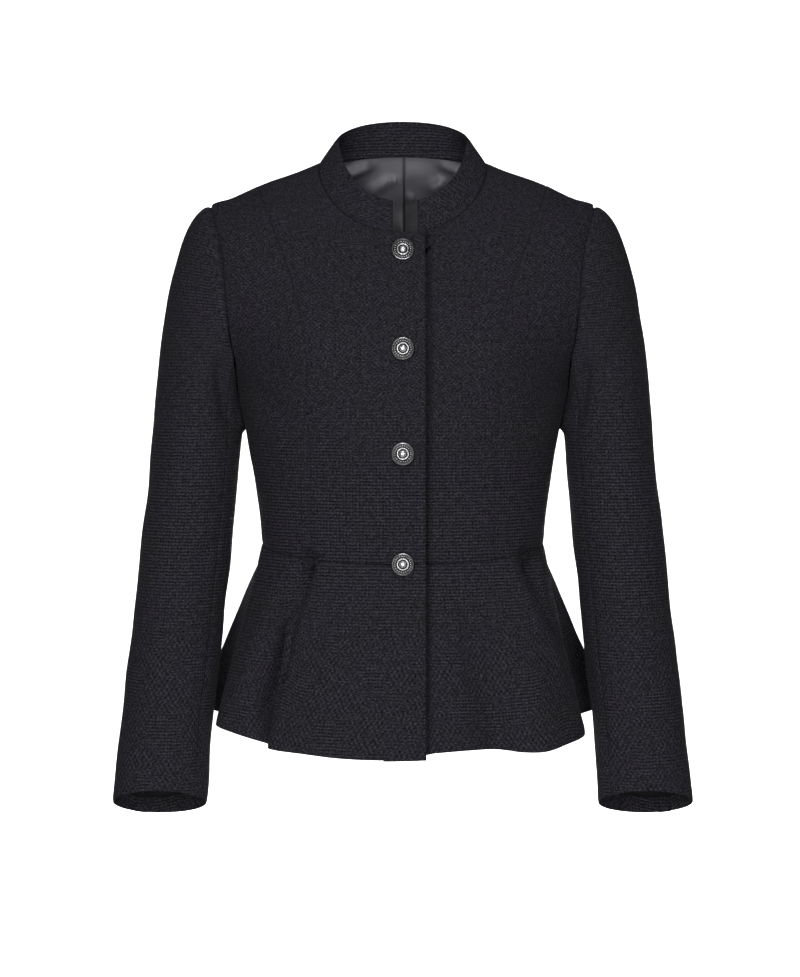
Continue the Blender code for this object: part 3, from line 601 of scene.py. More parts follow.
rubbed_silver = metal("rubbed silver", (0.36, 0.36, 0.37), (0.64, 0.64, 0.65), 0.24)
tarnished_silver = metal("tarnished silver", (0.012, 0.012, 0.012), (0.055, 0.055, 0.056), 0.4)


def thread_finish(name, colour):
    """Buttonhole thread: fine ridges side by side, with painted shade between them."""
    made, tree, shader = finish(name, Roughness=0.6, Specular_IOR_Level=0.3)
    place = tree.nodes.new("ShaderNodeTexCoord").outputs["Object"]
    turns = node(tree, "TexWave", {"Vector": place, "Scale": 520.0, "Distortion": 1.5})
    # painted shade in the grooves between the turns of thread
    shade = colours(tree, turns, (0.2, tuple(0.45 * c for c in colour)), (0.8, colour))
    tree.links.new(shade, shader.inputs["Base Color"])
    bump = node(tree, "Bump", {"Height": turns, "Strength": 0.6, "Distance": 0.3 * MM})
    tree.links.new(bump, shader.inputs["Normal"])
    return made


thread = thread_finish("buttonhole thread", (0.022, 0.022, 0.026))


# %% [markdown]
# ## Fronts, sides and backs
# The body of the jacket is cut in pieces because flat cloth can't follow a bust and a waist. The
# princess seams run from the waist over the bust to the shoulder. The right front laps over the
# left, which lies a little deeper.

# %% Seams on the body
Cut = namedtuple("Cut", "level x")
PRINCESS = (
    Cut(0, 88.0), Cut(1, 89.0), Cut(2, 90.5), Cut(3, 92.0), Cut(3.5, 95.5), Cut(4, 101.5),
    Cut(4.5, 109.5), Cut(5, 117.0), Cut(5.5, 123.5), Cut(5.75, 128.0), Cut(5.92, 138.6),
)
PRINCESS_TOP = 5.92
ARMHOLE_FRONT = (
    Cut(3, 160.0), Cut(3.25, 161.0), Cut(3.5, 165.5), Cut(4, 170.0), Cut(4.5, 173.5),
    Cut(4.85, 181.0), Cut(5, 186.0),
)
ARMHOLE_BACK = (
    Cut(3, 160.0), Cut(3.25, 162.5), Cut(3.5, 168.5), Cut(4, 178.0), Cut(4.5, 183.0),
    Cut(4.85, 185.4), Cut(5, 186.0),
)
LAP = 21.0
LAP_DEPTH, LAP_FLAT, LAP_EASE = 2.7, 24.0, 62.0
EDGE_LIFT, EDGE_LIFT_WIDTH = 2.6, 13.0
LAP_ROLL = 1.4
SINK_X, SINK_DEPTH, SINK_WIDTH = 22.6, 10.5, 3.7
UNDER_NECK_DROP, HIDDEN_EASE, NECK_EASE = 2.2, 6.0, 14.0
COLLAR_END_RIGHT, COLLAR_END_LEFT = 10.0, 15.0


def lap_depth(x):
    """How far inside the form the left front lies at a distance from the centre."""
    return LAP_DEPTH * ease((LAP_EASE - x) / (LAP_EASE - LAP_FLAT))


def sunk(points):
    """A left front, which lies deeper and sinks most just beyond the edge that laps over it."""
    x = points[..., 0]
    sink = SINK_DEPTH * np.exp(-((x - SINK_X) / SINK_WIDTH) ** 2)
    return points - normals_of(points) * (lap_depth(x) + sink)[..., None]


def lifted_edge(points):
    """A right front whose free edge, the last column, stands off the front under it."""
    from_edge = arc(points, 1)[:, -1:] - arc(points, 1)
    return points + normals_of(points) * (EDGE_LIFT * (1 - ease(from_edge / EDGE_LIFT_WIDTH)))[..., None]


def princess_angle(level):
    angle = angle_at(at_level(PRINCESS, np.minimum(level, PRINCESS_TOP))[..., 1], level)
    return np.where(level >= PRINCESS_TOP, math.pi / 2, angle)


def armhole_angle(table, level):
    """Where the armhole crosses a level; below it the edge is the side seam."""
    angle = angle_at(at_level(table, np.clip(level, UNDERARM, TIP))[..., 1], level)
    return np.where((level <= UNDERARM) | (level >= TIP), math.pi / 2, angle)


ARMHOLE_LEVELS = (3.03, 3.12, 3.25, 3.42, 3.65, 3.9, 4.15, 4.4, 4.65, 4.85, 5)
AROUND = tuple(reversed(ARMHOLE_LEVELS)) + (UNDERARM,) + ARMHOLE_LEVELS
UNDERARM_INDEX = len(ARMHOLE_LEVELS)
FULL_TURN = 2 * UNDERARM_INDEX


def armhole(index):
    """Points of the armhole: index 0 is the shoulder tip, then down the front and up the back."""
    index = np.mod(index, FULL_TURN)
    level = np.interp(index, np.arange(FULL_TURN + 1), AROUND)
    front = armhole_angle(ARMHOLE_FRONT, level)
    back = math.pi - armhole_angle(ARMHOLE_BACK, level)
    return body(np.where(index < UNDERARM_INDEX, front, back), level)


ARMHOLE_LINE = armhole(np.linspace(0, FULL_TURN, 180))
Edge = namedtuple("Edge", "angle level")


def panel(first, last):
    """A grid of the body between two edges, each an angle and a level for a row."""
    def across(share):
        return body(*(a[:, None] + (b - a)[:, None] * share for a, b in zip(first, last)))

    widths = arc(across(np.linspace(0, 1, 40)), 1)[:, -1]
    shares = steps(float(widths.mean()))
    inside = (shares - shares[0]) / (shares[-1] - shares[0])
    margin = (HALF_GAP + FOLD) / widths[:, None]
    return across(margin + (1 - 2 * margin) * inside)


def even_rows(line, tries):
    """The values of tries at which points along a line are evenly spaced, closer at its ends."""
    away = np.concatenate([[0], np.cumsum(np.linalg.norm(np.diff(line, axis=0), axis=1))])
    return np.interp(steps(away[-1]) * away[-1], away, tries)


def level_steps(low, high, angle=0.75):
    """Levels between two, evenly spaced along the cloth at an angle."""
    tries = np.linspace(low, high, 400)
    return even_rows(body(np.full_like(tries, angle), tries), tries)


# %% Cut the fronts
SEAM_TURN, EDGE_TURN = 9.0, 40.0
SHOULDER_CORNER = (5.80, 5.85, 5.885, 5.91, PRINCESS_TOP)
for side in ("right", "left"):
    levels = np.union1d(level_steps(0, NECK), SHOULDER_CORNER)
    lap = Edge(angle_at(np.full_like(levels, -LAP), levels), levels)
    points = panel(lap, Edge(princess_angle(levels), levels))
    if side == "right":
        points = lifted_edge(mirrored(points))
    else:
        points = sunk(points)
        hidden = ease((COLLAR_END_LEFT - points[..., 0]) / HIDDEN_EASE)
        near_neck = ease(1 - (arc(points, 0)[-1] - arc(points, 0)) / NECK_EASE)
        drop = hidden * near_neck * UNDER_NECK_DROP
        points = points + drop[..., None] * unit(points[-2] - points[-1])
    centre, outside = ("last", "first") if side == "right" else ("first", "last")
    seams = tuple((edge, SEAM_TURN) for edge in (outside, "bottom", "top"))
    folds = ((centre, EDGE_TURN, LAP_ROLL), *seams)
    sheet("front_%s_cloth" % side, points, normals_of(points), folds, tweed, "front_" + side)

# %% Cut the side fronts
PRINCESS_ROWS = (
    0, 0.5, 1, 1.5, 2, 2.4, 2.75, 3, 3.2, 3.4, 3.65, 3.9, 4.15, 4.4, 4.7, 5, 5.45, PRINCESS_TOP,
)
ARMHOLE_ROWS = (0, 0.5, 1, 1.5, 2, 2.5, UNDERARM, *ARMHOLE_LEVELS)
for side in ("right", "left"):
    tries = np.linspace(0, len(PRINCESS_ROWS) - 1, 400)
    inner = np.interp(tries, np.arange(len(PRINCESS_ROWS)), PRINCESS_ROWS)
    rows = even_rows(body(princess_angle(inner), inner), tries)
    inner, outer = (np.interp(rows, np.arange(len(r)), r) for r in (PRINCESS_ROWS, ARMHOLE_ROWS))
    armhole_edge = Edge(armhole_angle(ARMHOLE_FRONT, outer), outer)
    points = panel(Edge(princess_angle(inner), inner), armhole_edge)
    if side == "right":
        points = mirrored(points)
    inside, outside = ("last", "first") if side == "right" else ("first", "last")
    points = tucked(points, inside)
    folds = ((outside, SEAM_TURN), ("bottom", SEAM_TURN))
    name = "side_front_" + side
    sheet(name + "_cloth", points, normals_of(points), folds, tweed, name)

# %% Cut the backs
for side in ("right", "left"):
    levels = level_steps(0, NECK)
    side_edge = Edge(math.pi - armhole_angle(ARMHOLE_BACK, levels), levels)
    points = panel(side_edge, Edge(np.full_like(levels, math.pi), levels))
    if side == "right":
        points = mirrored(points)
    folds = tuple((edge, SEAM_TURN) for edge in ("first", "last", "bottom", "top"))
    sheet("back_%s_cloth" % side, points, normals_of(points), folds, tweed, "back_" + side)

# %% [markdown]
# ## Sleeves
# A two-piece sleeve bends forward at the elbow as an arm does. It is set into the armhole with a
# little fullness over the shoulder. The surface starts at the armhole and runs on a curve down to
# the section at the biceps, then through a section every six centimetres to the cuff.

# %% The sleeve's surface
Section = namedtuple("Section", "x y z half_width half_depth tilt")
SLEEVE = (
    Section(199.3, 3.0, -252.0, 43.8, 60.0, 0.0),
    Section(204.0, -1.0, -305.0, 43.4, 56.5, 3.0),
    Section(210.1, -8.0, -364.0, 44.3, 52.5, 8.0),
    Section(215.8, -18.5, -423.0, 44.0, 49.0, 12.0),
    Section(221.7, -31.5, -482.0, 44.4, 46.0, 16.0),
    Section(228.0, -45.5, -541.0, 44.3, 43.0, 19.0),
    Section(234.0, -60.0, -613.5, 45.8, 38.0, 24.0),
)
CUFF = len(SLEEVE) - 1
FRONT_SEAM, BACK_SEAM = 8, 15
FRONT_SEAM_ANGLE, BACK_SEAM_ANGLE, BACK_SEAM_CUFF_ANGLE = 140.0, 235.0, 300.0
CAP_LENGTH, ARM_LENGTH, INDEX_WIDTH = 118.0, 365.0, 11.5    # along the cap, below it, round it
CAP_ROLL, ROLL_FULL, ROLL_FADE, ROLL_END = 2.0, 4.0, 6.0, 36.0
UNDERARM_FULL, UNDERARM_FULL_TOP, UNDERARM_FULL_LOW = 12.0, -217.0, -251.0


def sleeve_angle(index, drop):
    """The angle round a sleeve section of an armhole index; 0 is outside and 90 in front."""
    index = np.mod(index, FULL_TURN)
    back = BACK_SEAM_ANGLE + (BACK_SEAM_CUFF_ANGLE - BACK_SEAM_ANGLE) * drop
    front_part = FRONT_SEAM_ANGLE * index / FRONT_SEAM
    under_share = (index - FRONT_SEAM) / (BACK_SEAM - FRONT_SEAM)
    under_part = FRONT_SEAM_ANGLE + (back - FRONT_SEAM_ANGLE) * under_share
    back_part = back + (360.0 - back) * (index - BACK_SEAM) / (FULL_TURN - BACK_SEAM)
    behind = np.where(index < BACK_SEAM, under_part, back_part)
    return np.radians(np.where(index < FRONT_SEAM, front_part, behind))


def sleeve_section(level, angle):
    section = columns_of(Section, between(SLEEVE, level))
    forward = section.half_depth * np.sin(angle)
    tilt = np.radians(section.tilt)
    return np.stack([
        section.x + section.half_width * np.cos(angle),
        section.y - forward * np.cos(tilt),
        section.z + forward * np.sin(tilt),
    ], axis=-1)


def sleeve_cap(index, t):
    """The cap, on a curve from the armhole, t = 0, down to the biceps section, t = 1."""
    start = armhole(index)
    angle = sleeve_angle(index, 0.0)
    end = sleeve_section(np.zeros_like(angle), angle)
    cosine, sine, flat = np.cos(angle), np.sin(angle), np.zeros_like(angle)
    lead = np.stack([18 * (1 + cosine), -4 * sine, -8 - 16 * sine**2 - 2 * (1 - cosine)], axis=-1)
    rise = 0.48 * (start - end)[..., 2]
    arrive = np.stack([-7.5 * np.maximum(cosine, 0), flat, rise], axis=-1)
    t = t[..., None]
    return (
        (1 - t) ** 3 * start + 3 * (1 - t) ** 2 * t * (start + lead)
        + 3 * (1 - t) * t**2 * (end + arrive) + t**3 * end
    )


def side_of_body(points):
    """How far out the body's side is at the depths and heights of points."""
    side = np.array(BODY)[:, [0, 3]]
    level = np.interp(points[..., 2], side[:, 1], side[:, 0])
    ring = columns_of(Ring, at_level(BODY, level))
    far_y = np.where(points[..., 1] < ring.side_y, ring.front_y, ring.back_y)
    reach = np.clip((points[..., 1] - ring.side_y) / (far_y - ring.side_y), 0, 0.99)
    return ring.half_width * (1 - reach**ring.squareness) ** (1 / ring.squareness)


def sleeve_grid(first, last):
    """Rows from the cuff up to the armhole, and columns between two armhole indices. The fullness
    over the shoulder stands up in a soft roll beside the seam, and some more fills the underarm."""
    index = last - (last - first) * steps((last - first) * INDEX_WIDTH)
    cap_rows = steps(CAP_LENGTH, end=False)
    cap_rows[0] = 0.0
    arm_rows = steps(ARM_LENGTH, start=False)
    rows = [sleeve_cap(index, np.full_like(index, t)) for t in cap_rows]
    for share in arm_rows[1:]:
        rows.append(sleeve_section(np.full_like(index, CUFF * share), sleeve_angle(index, ease(share))))
    points = np.array(rows)[::-1]
    from_seam = arc(points, 0)[-1] - arc(points, 0)
    from_tip = np.abs(index - FULL_TURN)
    share = (1 - ease((from_tip - 4) / 4)) * ease(from_tip / 3)
    roll = CAP_ROLL * share * ease(from_seam / ROLL_FULL) * over(Span(ROLL_END, ROLL_FADE), from_seam)
    points = points + normals_of(points) * roll[..., None]
    z = points[..., 2]
    full = ease((UNDERARM_FULL_TOP - z) / 8) * (1 - ease((UNDERARM_FULL_LOW - z) / 9))
    inner = np.clip(-2.5 * normals_of(points)[..., 0], 0, 1) * ease((points[..., 1] + 24) / 24)
    pushed = np.maximum(points[..., 0] - UNDERARM_FULL * full * inner, side_of_body(points))
    points[..., 0] = np.minimum(points[..., 0], pushed)
    return points


# %% Cut the sleeves
HEM_TURN, ELBOW_ROW = 38.0, 0.72
SLEEVE_PIECES = (("upper", BACK_SEAM, FULL_TURN + FRONT_SEAM), ("under", FRONT_SEAM, BACK_SEAM))
for side in ("left", "right"):
    for piece, first, last in SLEEVE_PIECES:
        points = sleeve_grid(first, last)
        if side == "right":
            points = mirrored(points)
        points = tucked(points, "top")
        name = "sleeve_%s_%s" % (piece, side)
        folds = (("first", SEAM_TURN), ("last", SEAM_TURN), ("bottom", HEM_TURN))
        normals = normals_of(points)
        sheet(name + "_cloth", points, normals, folds, sleeve_tweed, name, hanging_map, ELBOW_ROW)

# %% [markdown]
# ## Peplum
# The peplum is a flared skirt on the waist seam. Its hem is far longer than the seam, so it falls
# in folds, which differ from side to side. Each row of the tables says where the cloth that leaves
# the waist at an angle ends up at the hem.

# %% The peplum's folds
Hem = namedtuple("Hem", "angle x y z growth")
PEPLUM_RIGHT = (
    Hem(9.0, -21.0, -149.5, -560.0, 1.0), Hem(-8.0, 20.0, -150.0, -560.5, 1.0),
    Hem(-24.0, 60.0, -147.5, -559.0, 1.0), Hem(-36.0, 95.0, -139.0, -555.8, 1.1),
    Hem(-42.0, 119.0, -128.0, -554.0, 1.25), Hem(-45.0, 128.5, -117.5, -553.0, 1.4),
    Hem(-48.0, 118.0, -108.5, -556.0, 1.5), Hem(-51.5, 100.0, -101.0, -559.5, 1.5),
    Hem(-55.0, 103.0, -91.0, -559.0, 1.4), Hem(-61.0, 130.0, -85.5, -552.5, 1.2),
    Hem(-70.0, 160.0, -76.0, -544.5, 1.0), Hem(-80.0, 180.0, -59.0, -538.5, 1.0),
    Hem(-86.0, 175.0, -34.0, -536.0, 1.0), Hem(-92.0, 169.0, -8.0, -535.0, 1.0),
)
PEPLUM_LEFT = (
    Hem(9.0, -21.0, -146.0, -554.6, 1.0), Hem(-8.0, 20.0, -146.0, -554.6, 1.0),
    Hem(-23.0, 60.0, -136.0, -553.2, 1.0), Hem(-34.0, 88.0, -117.0, -554.2, 1.0),
    Hem(-44.0, 112.0, -125.0, -556.0, 1.0), Hem(-53.0, 136.0, -124.0, -555.5, 1.0),
    Hem(-62.0, 157.0, -106.0, -550.5, 1.0), Hem(-72.0, 174.5, -79.0, -545.5, 1.0),
    Hem(-80.0, 173.0, -45.0, -539.0, 1.0), Hem(-92.0, 169.0, -8.0, -535.0, 1.0),
)
PEPLUM_BACK = (
    Hem(-92.0, 169.0, -8.0, -535.0, 1.0), Hem(-101.0, 190.0, 26.0, -532.5, 0.9),
    Hem(-110.0, 203.0, 54.0, -532.5, 0.8), Hem(-119.0, 187.0, 85.0, -535.0, 0.9),
    Hem(-128.0, 157.0, 102.0, -537.0, 1.0), Hem(-138.0, 132.0, 131.0, -538.0, 1.0),
    Hem(-148.0, 104.0, 160.0, -539.0, 1.0), Hem(-158.0, 72.0, 158.0, -540.0, 1.0),
    Hem(-168.0, 42.0, 141.0, -540.5, 1.0), Hem(-180.0, 0.0, 154.0, -540.5, 1.0),
)
HEM_BASE_WIDTH, HEM_BASE_DEPTH, HEM_BASE_Z, HEM_BASE_RISE = 181.0, 140.0, -556.0, 18.0
CENTRE_FRONT_ROW = 0.53
PEPLUM_LENGTH, PEPLUM_LEVEL_ROW = 175.0, 0.85


def waist_fall(drop):
    """The way down the skirt at the centre front, from the waist seam."""
    place = columns_of(Hem, between(PEPLUM_RIGHT, np.array(CENTRE_FRONT_ROW)))
    angle = np.radians(-place.angle)
    base = np.array([0.0, -HEM_BASE_DEPTH * np.cos(angle), HEM_BASE_Z])
    waist = body(angle, np.array(0.0))
    return (base - waist) * drop + (np.array([0.0, place.y, place.z]) - base) * drop**place.growth


def peplum_grid(table, both_sides=False):
    """Rows from the hem up to the waist seam, and columns from the front edge to the back."""
    where = np.linspace(0, len(table) - 1, 600)
    hem = between(table, where)[:, 1:4]
    away = np.concatenate([[0], np.cumsum(np.linalg.norm(np.diff(hem, axis=0), axis=1))])
    share = np.interp(steps(away[-1], end=not both_sides) * away[-1], away, where)
    place = columns_of(Hem, between(table, share))
    angle = np.radians(-place.angle)
    waist = body(angle, np.zeros_like(angle))
    base = np.stack([
        HEM_BASE_WIDTH * np.sin(angle), -HEM_BASE_DEPTH * np.cos(angle),
        HEM_BASE_Z + HEM_BASE_RISE * np.sin(angle) ** 2,
    ], axis=-1)
    end = np.stack([place.x, place.y, place.z], axis=-1)
    drop = (1 - steps(PEPLUM_LENGTH, start=False))[:, None, None]
    return waist + (base - waist) * drop + (end - base) * drop ** place.growth[:, None]


# %% Cut the peplum
for side, table in (("right", PEPLUM_RIGHT), ("left", PEPLUM_LEFT)):
    points = peplum_grid(table)
    if side == "right":
        points = lifted_edge(mirrored(points))
    else:
        points = sunk(points)
    centre, outside = ("last", "first") if side == "right" else ("first", "last")
    points = tucked(points, "top")
    folds = ((centre, EDGE_TURN, LAP_ROLL), (outside, SEAM_TURN), ("bottom", HEM_TURN))
    name = "peplum_front_" + side
    sheet(name + "_cloth", points, normals_of(points), folds, tweed, name, hanging_map, PEPLUM_LEVEL_ROW)

half = peplum_grid(PEPLUM_BACK, both_sides=True)
points = tucked(np.concatenate([half, mirrored(half)[:, 1:]], axis=1), "top")
folds = (("first", SEAM_TURN), ("last", SEAM_TURN), ("bottom", HEM_TURN))
normals = normals_of(points)
sheet("peplum_back_cloth", points, normals, folds, tweed, "peplum_back", hanging_map, PEPLUM_LEVEL_ROW)

# %% [markdown]
# ## Collar
# A stand collar is a band, faced inside with the same cloth, that stands on the neckline and leans
# in towards the neck. It stops short of the closure on both fronts.

# %% Cut the collar
COLLAR_FLAT_ANGLE = math.radians(60)
COLLAR_ROUND, COLLAR_HIGH = 470.0, 34.0
COLLAR_TURN, COLLAR_END_TURN = 60.0, 12.0


def collar(angle, height):
    """The collar between the neckline, at height 0, and its top edge, at height 1."""
    width = at_level(BODY, np.array(float(NECK)))[4]
    turned = np.mod(angle + math.pi, 2 * math.pi) - math.pi
    sine = np.sin(turned) * width / COLLAR_TOP.half_width
    upright = np.arcsin(np.clip(sine, -1, 1))
    near = ease(1.0 - np.abs(turned) / COLLAR_FLAT_ANGLE)
    near = np.where((np.cos(turned) <= 0) | (np.abs(sine) >= 1), 0.0, near)
    here = turned + (upright - turned) * near * height
    foot = body(here, np.full_like(here, NECK))
    top = on_ring(Ring(*(np.full_like(here, value) for value in COLLAR_TOP)), here)
    return foot + (top - foot) * height[..., None]


ends = angle_at(np.array([COLLAR_END_LEFT, COLLAR_END_RIGHT]), np.full(2, float(NECK)))
round_neck = steps(COLLAR_ROUND)
angles = (ends[0] + (2 * math.pi - ends[1] - ends[0]) * round_neck)[None]
heights = steps(COLLAR_HIGH)[:, None]
points = collar(*np.broadcast_arrays(angles, heights))
normals = normals_of(points)
left = (points[..., 0] > 0) & (points[..., 1] < 0)
points = points - normals * np.where(left, lap_depth(points[..., 0]), 0)[..., None]
points = tucked(points, "bottom")
folds = (("first", COLLAR_END_TURN), ("last", COLLAR_END_TURN), ("top", COLLAR_TURN))
sheet("collar_cloth", points, normals_of(points), folds, tweed, "collar", band_map)

# %% [markdown]
# ## Lining
# Satin lines the back and the sleeves, so that the jacket slides over what is worn under it. It
# hangs free inside, wrinkles a little and has a pleat down the centre back for movement.

# %% Hang the back lining
LINING_LOW, LINING_DEPTH = 3.65, 2.4
PLEAT_X, PLEAT_STAND, PLEAT_SINK, PLEAT_WIDTH, PLEAT_OPEN_Z = 1.3, 4.0, 1.2, 1.0, -36.0
FLAP_X, FLAP_STAND, FLAP_WIDTH = 1.5, 8.0, 11.0
LINING_WRINKLES = (
    Crease(-60, -3, -32, 7, 8.0, 5.5), Crease(-35, -20, -16, -11, 4.0, 5.0),
    Crease(-15, -10, -5, -10, 2.5, 4.0), Crease(37, 9, 62, 0, 7.0, 5.0),
    Crease(27, -17, 43, -10, 6.5, 5.0), Crease(4, -25, 12, -27, 3.0, 4.0),
    Crease(-60, -44, -24, -62, 3.6, 9.0), Crease(20, -58, 58, -44, 3.0, 9.0),
    Crease(-96, -70, -50, -96, 3.0, 12.0), Crease(40, -86, 100, -72, 3.0, 12.0),
)

levels = level_steps(LINING_LOW, NECK - 0.03, angle=math.pi)
edge = math.pi - armhole_angle(ARMHOLE_BACK, levels)
centre = np.full_like(levels, math.pi)
beside = np.arcsin(12.0 / at_level(BODY, levels)[:, 4])
half = np.concatenate([
    panel(Edge(edge + 0.03, levels), Edge(centre - beside, levels)),
    body((centre - beside)[:, None] + beside[:, None] * np.linspace(0, 1, 22), levels[:, None]),
], axis=1)
points = np.concatenate([half, mirrored(half)[:, 1:]], axis=1)
normals = normals_of(points)
x, z = points[..., 0], points[..., 2]
from_top = arc(points, 0)[-1] - arc(points, 0)
opened = ease((PLEAT_OPEN_Z - z) / 24)
stand = PLEAT_STAND * (0.1 + 0.9 * ease(from_top / 26))
stand -= (stand + PLEAT_SINK) * np.exp(-((x - PLEAT_X) / PLEAT_WIDTH) ** 4)
stand += ease(from_top / 14) * sum(trough(points, crease) for crease in LINING_WRINKLES)
stand += FLAP_STAND * opened * np.exp(-((x - FLAP_X) / FLAP_WIDTH) ** 2) * (x < FLAP_X)
points = points - normals * (LINING_DEPTH + stand)[..., None]
sheet("back_lining_satin", points, normals_of(points), (), satin, "back_lining")

# %% Line the sleeves
CUFF_LINING = Span(5.40, 5.80)          # levels between which its edge gets wavy
LINING_END, LINING_WAVE, LINING_CLEAR, LINING_THICK = 4.5, 0.022, 0.6, 0.4
for side in ("left", "right"):
    index = FULL_TURN - np.linspace(0, FULL_TURN, 90)[:-1]
    waves = LINING_WAVE * np.sin(3 * TURN * index / FULL_TURN + 0.8)
    rows = []
    for level in np.linspace(CUFF_LINING.full, LINING_END, 20):
        wavy = level + waves * over(CUFF_LINING, level)
        rows.append(sleeve_section(wavy, sleeve_angle(index, ease(level / CUFF))))
    points = np.array(rows)
    if side == "right":
        points = mirrored(points)
    around = np.roll(points, -1, axis=1) - np.roll(points, 1, axis=1)
    normals = unit(np.cross(around, np.gradient(points, axis=0)))
    points = creased(points, normals) - normals * (LINING_DEPTH + LINING_CLEAR)
    flat = np.stack([arc(points, 1), arc(points, 0)], axis=-1)
    name = "sleeve_lining_" + side
    # the sleeve lining wears the satin darkened as painted shade
    made = grid_mesh(name + "_satin", points, flat, shaded_sleeve_satin, ring=True)
    solidify(made, LINING_THICK)
    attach(made, "root")
    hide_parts(name)
    area = grid_area(np.concatenate([points, points[:, :1]], axis=1))
    width, length = float(arc(points, 1)[:, -1].max()), float(arc(points, 0)[-1].max())
    sizes[made.name] = (width * MM, length * MM, area * MM * MM)

# %% [markdown]
# ## Buttons
# Four shank buttons of old silver close the front. A cast button is round, so half of its section
# spun about its axis gives the whole form: a rim, a sunk band, an inner ring and a domed middle.
# The beads in the band and the petals on the dome are one small ball each, set round the axis.
# One button is made at the origin, and a copy goes to each place, turned square to the cloth.

# %% Spin the form of a button
Turned = namedtuple("Turned", "radius height")
SECTION = (
    Turned(0.0, 5.6), Turned(1.3, 5.45), Turned(2.3, 5.1), Turned(3.1, 4.5), Turned(3.6, 3.9),
    Turned(4.05, 3.8), Turned(4.4, 4.5), Turned(4.8, 5.05), Turned(5.25, 5.15), Turned(5.65, 4.9),
    Turned(6.0, 4.2), Turned(6.3, 3.9), Turned(8.7, 3.9), Turned(9.0, 4.3), Turned(9.35, 5.1),
    Turned(9.8, 5.45), Turned(10.3, 5.3), Turned(10.7, 4.7), Turned(10.8, 3.8), Turned(10.4, 2.9),
    Turned(9.4, 2.4), Turned(3.0, 2.4), Turned(3.0, 0.3), Turned(0.0, 0.3),
)
SPIN_STEPS = 64
HOLLOWS = ((2.7, 4.3), (5.8, 9.1))
BEADS, BEAD_RADIUS, BEAD_FROM_AXIS, BEAD_HEIGHT = 22, 0.62, 7.5, 4.1
PETALS, PETAL_RADIUS, PETAL_FROM_AXIS, PETAL_HEIGHT = 6, 0.75, 1.55, 5.25

bpy.ops.object.select_all(action="DESELECT")
section = bpy.data.meshes.new("button")
section.from_pydata([(p.radius * MM, 0, p.height * MM) for p in SECTION],
                    [(i, i + 1) for i in range(len(SECTION) - 1)], [])
button = bpy.data.objects.new("button", section)
bpy.context.scene.collection.objects.link(button)
bpy.context.view_layer.objects.active = button
button.select_set(True)
button.data.materials.append(rubbed_silver)
button.data.materials.append(tarnished_silver)
bpy.ops.object.mode_set(mode="EDIT")
bpy.ops.mesh.select_all(action="SELECT")
bpy.ops.mesh.spin(steps=SPIN_STEPS, angle=2 * math.pi, center=(0, 0, 0), axis=(0, 0, 1))
bpy.ops.mesh.select_all(action="SELECT")
bpy.ops.mesh.remove_doubles(threshold=0.00001)
bpy.ops.mesh.normals_make_consistent(inside=False)
bpy.ops.object.mode_set(mode="OBJECT")
for face in button.data.polygons:
    away = math.hypot(face.center.x, face.center.y) / MM
    if face.center.z / MM > 3 and any(low < away < high for low, high in HOLLOWS):
        face.material_index = 1
print("button:", len(button.data.polygons), "faces")

# %% Set the beads and petals


def ring_of_balls(count, radius, away, height, flat):
    """Small balls set round the axis, in the shape of one that is modelled first."""
    bpy.ops.object.select_all(action="DESELECT")
    bpy.ops.mesh.primitive_ico_sphere_add(subdivisions=2, radius=radius * MM, location=(0, 0, 0))
    ball = bpy.context.object
    bpy.ops.object.mode_set(mode="EDIT")
    bpy.ops.transform.resize(value=(1.0, 1.0, flat))
    bpy.ops.transform.translate(value=(away * MM, 0, height * MM))
    bpy.ops.mesh.spin(steps=count, dupli=True, angle=2 * math.pi, center=(0, 0, 0), axis=(0, 0, 1))
    bpy.ops.mesh.select_all(action="SELECT")
    bpy.ops.mesh.remove_doubles(threshold=0.000001)
    bpy.ops.object.mode_set(mode="OBJECT")
    ball.data.materials.append(rubbed_silver)
    return ball


beads = ring_of_balls(BEADS, BEAD_RADIUS, BEAD_FROM_AXIS, BEAD_HEIGHT, 0.8)
petals = ring_of_balls(PETALS, PETAL_RADIUS, PETAL_FROM_AXIS, PETAL_HEIGHT, 0.5)
for part in (beads, petals, button):
    part.select_set(True)
bpy.context.view_layer.objects.active = button
bpy.ops.object.join()
bpy.ops.object.shade_smooth_by_angle(angle=math.radians(50))
print("with beads and petals:", len(button.data.polygons), "faces")

# %% Sew them on
BUTTON_HEIGHTS = (-83.4, -176.2, -275.1, -380.6)
HANG = 0.6              # how far a button turns from the cloth's own slope to upright
BUTTON_TURN = 0.35      # each button is sewn on at another angle
WAIST_BUTTON_LIFT, SKIRT_DROP = 0.4, 0.14


def front_place(x, z):
    """A point of the front at distances from the centre and a height, with its normal."""
    tries = np.linspace(0, NECK, 900)
    level = np.interp(z, body(angle_at(np.full_like(tries, x), tries), tries)[:, 2], tries)
    angle = angle_at(np.array(float(x)), np.array(level))
    step = 1e-3
    across = body(angle + step, level) - body(angle - step, level)
    up = body(angle, level + step) - body(angle, level - step)
    return body(angle, np.array(level)), unit(np.cross(across, up))


for number, height in enumerate(BUTTON_HEIGHTS, 1):
    point, normal = front_place(0.0, height)
    if number == len(BUTTON_HEIGHTS):
        skirt = waist_fall(SKIRT_DROP)
        normal = unit(normal + unit(np.array([0.0, skirt[2], -skirt[1]])))
        point = point + normal * WAIST_BUTTON_LIFT
    normal = unit(normal * (1 - HANG) + np.array([0.0, -1.0, 0.05]) * HANG)
    made = bpy.data.objects.new("button_%d_silver" % number, button.data.copy())
    bpy.context.scene.collection.objects.link(made)
    tilt = Matrix.Rotation(math.atan2(-normal[1], normal[2]), 4, "X")
    turn = Matrix.Rotation(BUTTON_TURN * number, 4, "Z")
    made.data.transform(Matrix.Translation(Vector(point * MM)) @ tilt @ turn)
    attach(made, "root")
    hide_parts("button_%d" % number)
bpy.data.objects.remove(button)

